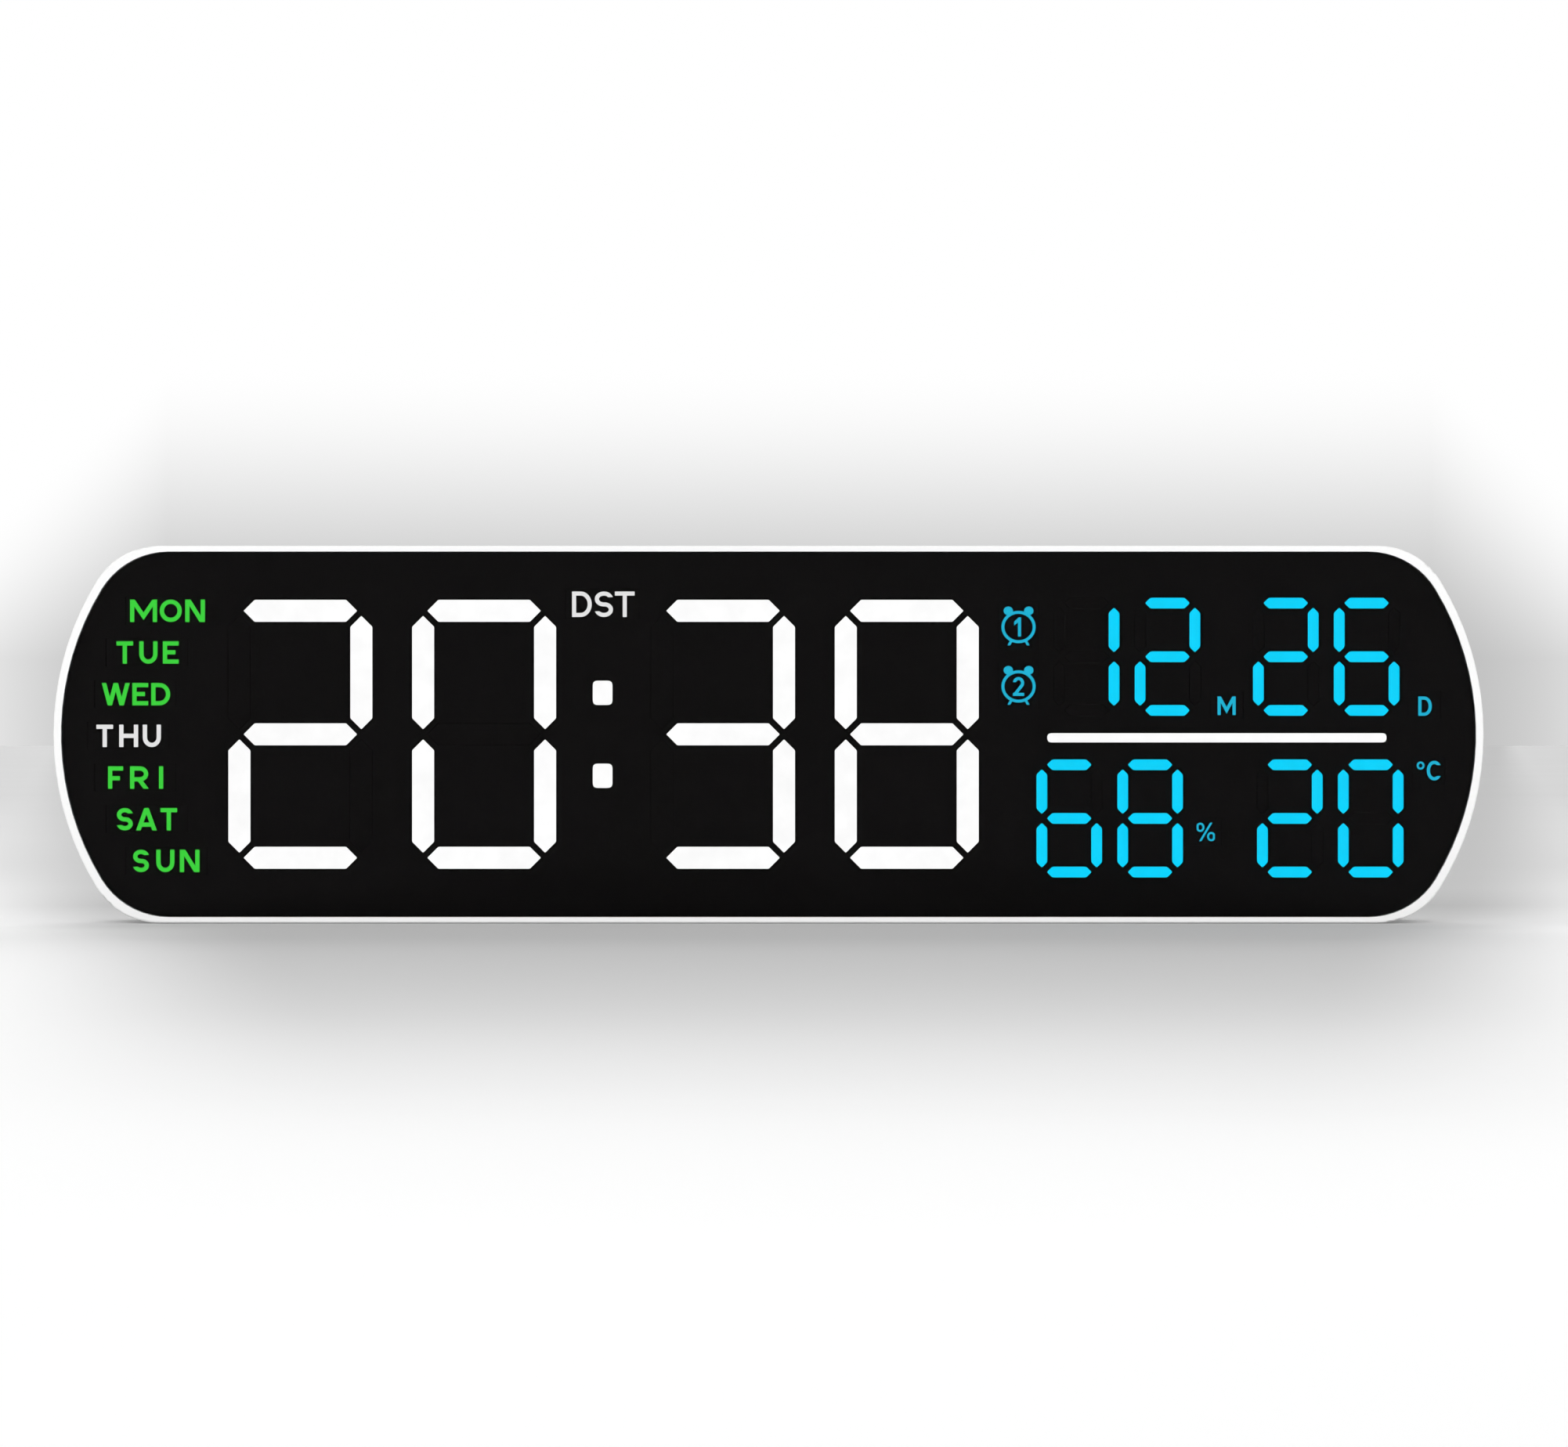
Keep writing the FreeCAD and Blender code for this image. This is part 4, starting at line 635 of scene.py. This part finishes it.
# Middle of the first key and the step to the next. A print starts inside the key's cap and stands a
# little proud of it.
KEY_X, KEY_STEP, KEY_Z = 20.0, 14.0, 78.3
SIGN_ROOT, SIGN_FACE, SIGN_WIDTH = 13.85, 13.95, 0.5
DIAL_RADIUS, LONG_HAND, SHORT_HAND, HAND_WIDTH = 1.75, 1.1, 0.8, 0.4
CROSS_REACH, DASH_CUT = 1.6, 0.1
BELL_DROP, BELL_RADIUS, BELL_STROKE = 0.1, 1.6, 0.42


def key_signs(x):
    """Shapes for the time, plus, minus and alarm keys, each about its own middle."""
    half = SIGN_WIDTH / 2
    dial = arc((x[0], KEY_Z), (DIAL_RADIUS, DIAL_RADIUS), 0, 360, 41)[:-1]
    hands = [(x[0], KEY_Z + LONG_HAND), (x[0], KEY_Z), (x[0] - SHORT_HAND, KEY_Z)]
    arm = np.array([(-CROSS_REACH, -half), (-half, -half), (-half, -CROSS_REACH)])
    turns = [np.array([(c, s), (-s, c)]) for c, s in ((1, 0), (0, 1), (-1, 0), (0, -1))]
    cross = np.concatenate([arm @ turn for turn in turns]) + (x[1], KEY_Z)
    dash = rectangle_outline(x[2], KEY_Z, 2 * CROSS_REACH, SIGN_WIDTH, DASH_CUT)
    return {
        "set": [(*stroke(dial, SIGN_WIDTH, SIGN_ROOT, SIGN_FACE, True), 0),
                (*stroke(hands, HAND_WIDTH, SIGN_ROOT, SIGN_FACE), 0)],
        "plus": [(*slab(cross, SIGN_ROOT, SIGN_FACE), 0)],
        "minus": [(*slab(dash, SIGN_ROOT, SIGN_FACE), 0)],
        "alarm": alarm_sign(x[3], KEY_Z - BELL_DROP, BELL_RADIUS, BELL_STROKE, SIGN_ROOT, SIGN_FACE),
    }


for key, parts in key_signs(KEY_X + KEY_STEP * np.arange(4)).items():
    piece(f"{key}_key_sign", parts, [KEY_PRINT], f"{key}_push")


# ---------------------------------------------------------------- floor, light and camera

def seen_white(tree):
    """1 for camera, glossy and transmission rays."""
    rays = add_node(tree, "ShaderNodeLightPath").outputs
    total = rays["Is Camera Ray"]
    for ray in ("Is Glossy Ray", "Is Transmission Ray"):
        total = add_node(tree, "ShaderNodeMath", [(0, total), (1, rays[ray])], operation="MAXIMUM").outputs[0]
    return total


# Painted shadow on the floor, grey under, in front of and behind the clock and white towards the front: its
# tone from front to back as (Y in metres, share of white), between two ends.
FLOOR_FRONT, FLOOR_BACK = -0.7, 0.3
FLOOR_SHADOW_TONES = [(-0.7, 1.0), (-0.56, 0.92), (-0.4, 0.725), (-0.24, 0.60), (0.0, 0.63), (0.2, 0.70)]
# Glow that lifts the tone for the eye, and the cloudy share of the tone that takes light.
FLOOR_LIFT, FLOOR_CLOUD = 0.26, (0.79, 0.81)
# Painted shade: the floor is a little paler to the left, as if lit from there, and a little greyer close
# behind the clock, like its shadow.
SHADE_LEAN, LEAN_REACH = 0.02, 0.3
BACK_SHADE, SHADE_REACH = -0.14, (0.0, 0.1)
# Past the clock's ends the painted shadow fades towards white between two distances from a middle, which
# widen to the back: middle, the two distances, the slant and in front of the clock the share of white.
FRONT_MIDDLE, FRONT_REACH, FRONT_SLANT, FRONT_SHARE = 0.010, (0.141, 0.214), 0.15, 0.95
BACK_MIDDLE, BACK_REACH, BACK_SLANT = 0.006, (0.17, 0.225), 0.165
# Share of white in the painted shadow behind the clock: what is added close to it, then from middle distance
# to far.
CLOSE_SHARE, CLOSE_REACH = 0.33, (0.05, 0.5)
MIDDLE_SHARE, FAR_SHARE, FAR_REACH = 0.47, 0.28, (0.5, 2.0)
# Y where the fade behind the clock turns into the one in front, and how far aside the floor turns white.
FADE_TURN, WHITE_SIDES = (0.0, -0.06), (1.8, 3.6)


def paper_with_painted_shadow():
    """Studio paper, barely clouded, with a painted shadow: it turns from white at the front and past the
    clock's ends to pale grey under the clock and behind it; the eye sees it lifted towards white."""
    look = Finish("pale paper with painted shadow", Roughness=0.9, Specular_IOR_Level=0.0)
    x, y, _ = look.axes()
    # Painted shadow: the floor's tone from front to back.
    ramp = look.node("ShaderNodeValToRGB", [("Fac", look.spread(y, 0.0, 1.0, FLOOR_FRONT, FLOOR_BACK))])
    steps = ramp.color_ramp
    steps.interpolation = "CARDINAL"
    for number, (place, tone) in enumerate(FLOOR_SHADOW_TONES):
        step = steps.elements[number] if number < 2 else steps.elements.new(1.0)
        step.position = (place - FLOOR_FRONT) / (FLOOR_BACK - FLOOR_FRONT)
        step.color = (tone, tone, tone, 1)
    # Painted shade: paler to the left, greyer close behind the clock.
    lean = look.math("ADD", look.spread(x, SHADE_LEAN, -SHADE_LEAN, -LEAN_REACH, LEAN_REACH),
                     look.spread(y, 0.0, BACK_SHADE, *SHADE_REACH))
    fades = []
    # Soft edges of the painted shadow beside the clock's ends.
    for middle, reach, slant in ((FRONT_MIDDLE, FRONT_REACH, FRONT_SLANT),
                                 (BACK_MIDDLE, BACK_REACH, BACK_SLANT)):
        across = look.math("ABSOLUTE", look.math("SUBTRACT", x, middle))
        slanted = look.math("SUBTRACT", across, look.product(y, slant))
        fades.append(look.spread(slanted, 0.0, 1.0, *reach, "SMOOTHSTEP"))
    share = look.math("ADD", look.spread(y, CLOSE_SHARE, 0.0, *CLOSE_REACH, "SMOOTHSTEP"),
                      look.spread(y, MIDDLE_SHARE, FAR_SHARE, *FAR_REACH))
    turn = look.spread(y, 0.0, 1.0, *FADE_TURN, "SMOOTHSTEP")
    beside = look.math("ADD", look.product(fades[0], FRONT_SHARE, turn),
                       look.product(fades[1], share, look.math("SUBTRACT", 1.0, turn)))
    far_aside = look.spread(look.math("ABSOLUTE", x), 0.0, 1.0, *WHITE_SIDES, "SMOOTHSTEP")
    tone = look.blend(look.math("MAXIMUM", beside, far_aside), look.math("ADD", ramp.outputs["Color"], lean),
                      (1.0, 1.0, 1.0))
    # Both the colour and the glow for the eye carry the painted shadow.
    look.give(Base_Color=look.product(tone, look.spread(look.noise(3.0), *FLOOR_CLOUD)),
              Emission_Strength=look.product(tone, seen_white(look.tree), FLOOR_LIFT))
    look.shader.inputs["Emission Color"].default_value = (1, 1, 1, 1)
    return look.material


# The floor's sides, near and far edges and level, in metres.
FLOOR_SIDE, FLOOR_NEAR, FLOOR_FAR, FLOOR_LEVEL = 4.0, -4.0, 9.0, -0.0002
floor_mesh = bpy.data.meshes.new("floor")
floor_mesh.from_pydata([(-FLOOR_SIDE, FLOOR_NEAR, FLOOR_LEVEL), (FLOOR_SIDE, FLOOR_NEAR, FLOOR_LEVEL),
                        (FLOOR_SIDE, FLOOR_FAR, FLOOR_LEVEL), (-FLOOR_SIDE, FLOOR_FAR, FLOOR_LEVEL)],
                       [], [(0, 1, 2, 3)])
floor_mesh.materials.append(paper_with_painted_shadow())
floor = bpy.data.objects.new("floor", floor_mesh)
bpy.context.scene.collection.objects.link(floor)


# The far background is white, with a painted shadow straight ahead at eye level, a pale grey halo round
# the clock: its middle and half sizes as slopes across and up, how fast it falls off beyond them, and its
# tone.
SHADOW_HALO_MIDDLE, SHADOW_HALO_SIZE, SHADOW_HALO_FALL = (0.0035, 0.0, 0.0), (0.145, 0.0, 0.0148), (1 / 0.078, 0.0, 1 / 0.068)
SHADOW_HALO_TONE = 0.52
# Strength of the plain soft light.
SOFT_LEVEL = 0.4


def studio_world():
    """Plain soft light all round, and for what is seen the far background, graded with a painted shadow halo.

    A ray's slope is its direction over the part of it that runs straight ahead. The background eases
    from grey to white as the slope's distances past the painted halo's sizes, each times its fall, add up
    to 1, and is white behind the viewer.
    """
    world = bpy.data.worlds.new("studio")
    bpy.context.scene.world = world
    world.use_nodes = True
    tree = world.node_tree
    ray = add_node(tree, "ShaderNodeTexCoord").outputs["Generated"]
    ahead = add_node(tree, "ShaderNodeSeparateXYZ", [(0, ray)]).outputs[1]
    past = add_node(tree, "ShaderNodeVectorMath", [(0, ray), (1, ahead)], operation="DIVIDE").outputs[0]
    for operation, amount in (("SUBTRACT", SHADOW_HALO_MIDDLE), ("ABSOLUTE", None), ("SUBTRACT", SHADOW_HALO_SIZE),
                              ("MAXIMUM", (0, 0, 0))):
        plain = [(1, amount)] if amount else []
        past = add_node(tree, "ShaderNodeVectorMath", [(0, past)], plain, operation=operation).outputs[0]
    total = add_node(tree, "ShaderNodeVectorMath", [(0, past)], [(1, SHADOW_HALO_FALL)], operation="DOT_PRODUCT")
    # Painted shadow: grey in the halo, easing to white outside it.
    tone = add_node(tree, "ShaderNodeMapRange", [("Value", total.outputs["Value"])],
                    [("To Min", SHADOW_HALO_TONE), ("To Max", 1.0)], interpolation_type="SMOOTHSTEP").outputs[0]
    behind = add_node(tree, "ShaderNodeMath", [(0, ahead)], [(1, 0.0)], operation="LESS_THAN").outputs[0]
    tone = add_node(tree, "ShaderNodeMath", [(0, tone), (1, behind)], operation="MAXIMUM").outputs[0]
    soft = tree.nodes["Background"]
    soft.inputs["Color"].default_value = (1, 1, 1, 1)
    soft.inputs["Strength"].default_value = SOFT_LEVEL
    seen = add_node(tree, "ShaderNodeBackground", [("Color", tone)], [("Strength", 1.0)])
    choose = add_node(tree, "ShaderNodeMixShader",
                      [(0, seen_white(tree)), (1, soft.outputs[0]), (2, seen.outputs[0])])
    tree.links.new(choose.outputs[0], tree.nodes["World Output"].inputs["Surface"])


studio_world()


def soft_lamp(name, strength, toward, angle):
    """A wide far lamp that shines along a direction; angle is its width in degrees."""
    lamp = bpy.data.lights.new(name, "SUN")
    lamp.energy = strength
    lamp.angle = radians(angle)
    thing = bpy.data.objects.new(name, lamp)
    thing.rotation_mode = "QUATERNION"
    thing.rotation_quaternion = Vector(toward).to_track_quat("-Z", "Y")
    thing.visible_glossy = False
    thing.visible_transmission = False
    bpy.context.scene.collection.objects.link(thing)


# Name: strength, direction and width in degrees.
LAMPS = {"front_light": (2.2, (0.05, 1.0, -0.36), 60), "back_light": (1.9, (-0.05, -1.0, -0.55), 50)}
for name, (strength, toward, angle) in LAMPS.items():
    soft_lamp(name, strength, toward, angle)

# The level camera looks along Y: middle of its view in X and Z, and the width that it takes in at the
# depth of the lit fronts, in metres; lens and sensor in millimetres.
VIEW_MIDDLE, LIT_FRONT, VIEW_WIDTH = (0.0040, 0.0516), -0.0114, 0.4064
LENS, SENSOR = 100.0, 36.0
camera_data = bpy.data.cameras.new("camera")
camera_data.lens = LENS
camera_data.sensor_width = SENSOR
camera_data.sensor_fit = "HORIZONTAL"
camera = bpy.data.objects.new("camera", camera_data)
camera.location = (VIEW_MIDDLE[0], LIT_FRONT - VIEW_WIDTH * LENS / SENSOR, VIEW_MIDDLE[1])
camera.rotation_euler = (pi / 2, 0, 0)
bpy.context.scene.collection.objects.link(camera)
bpy.context.scene.camera = camera

bpy.context.scene.view_settings.view_transform = "Standard"
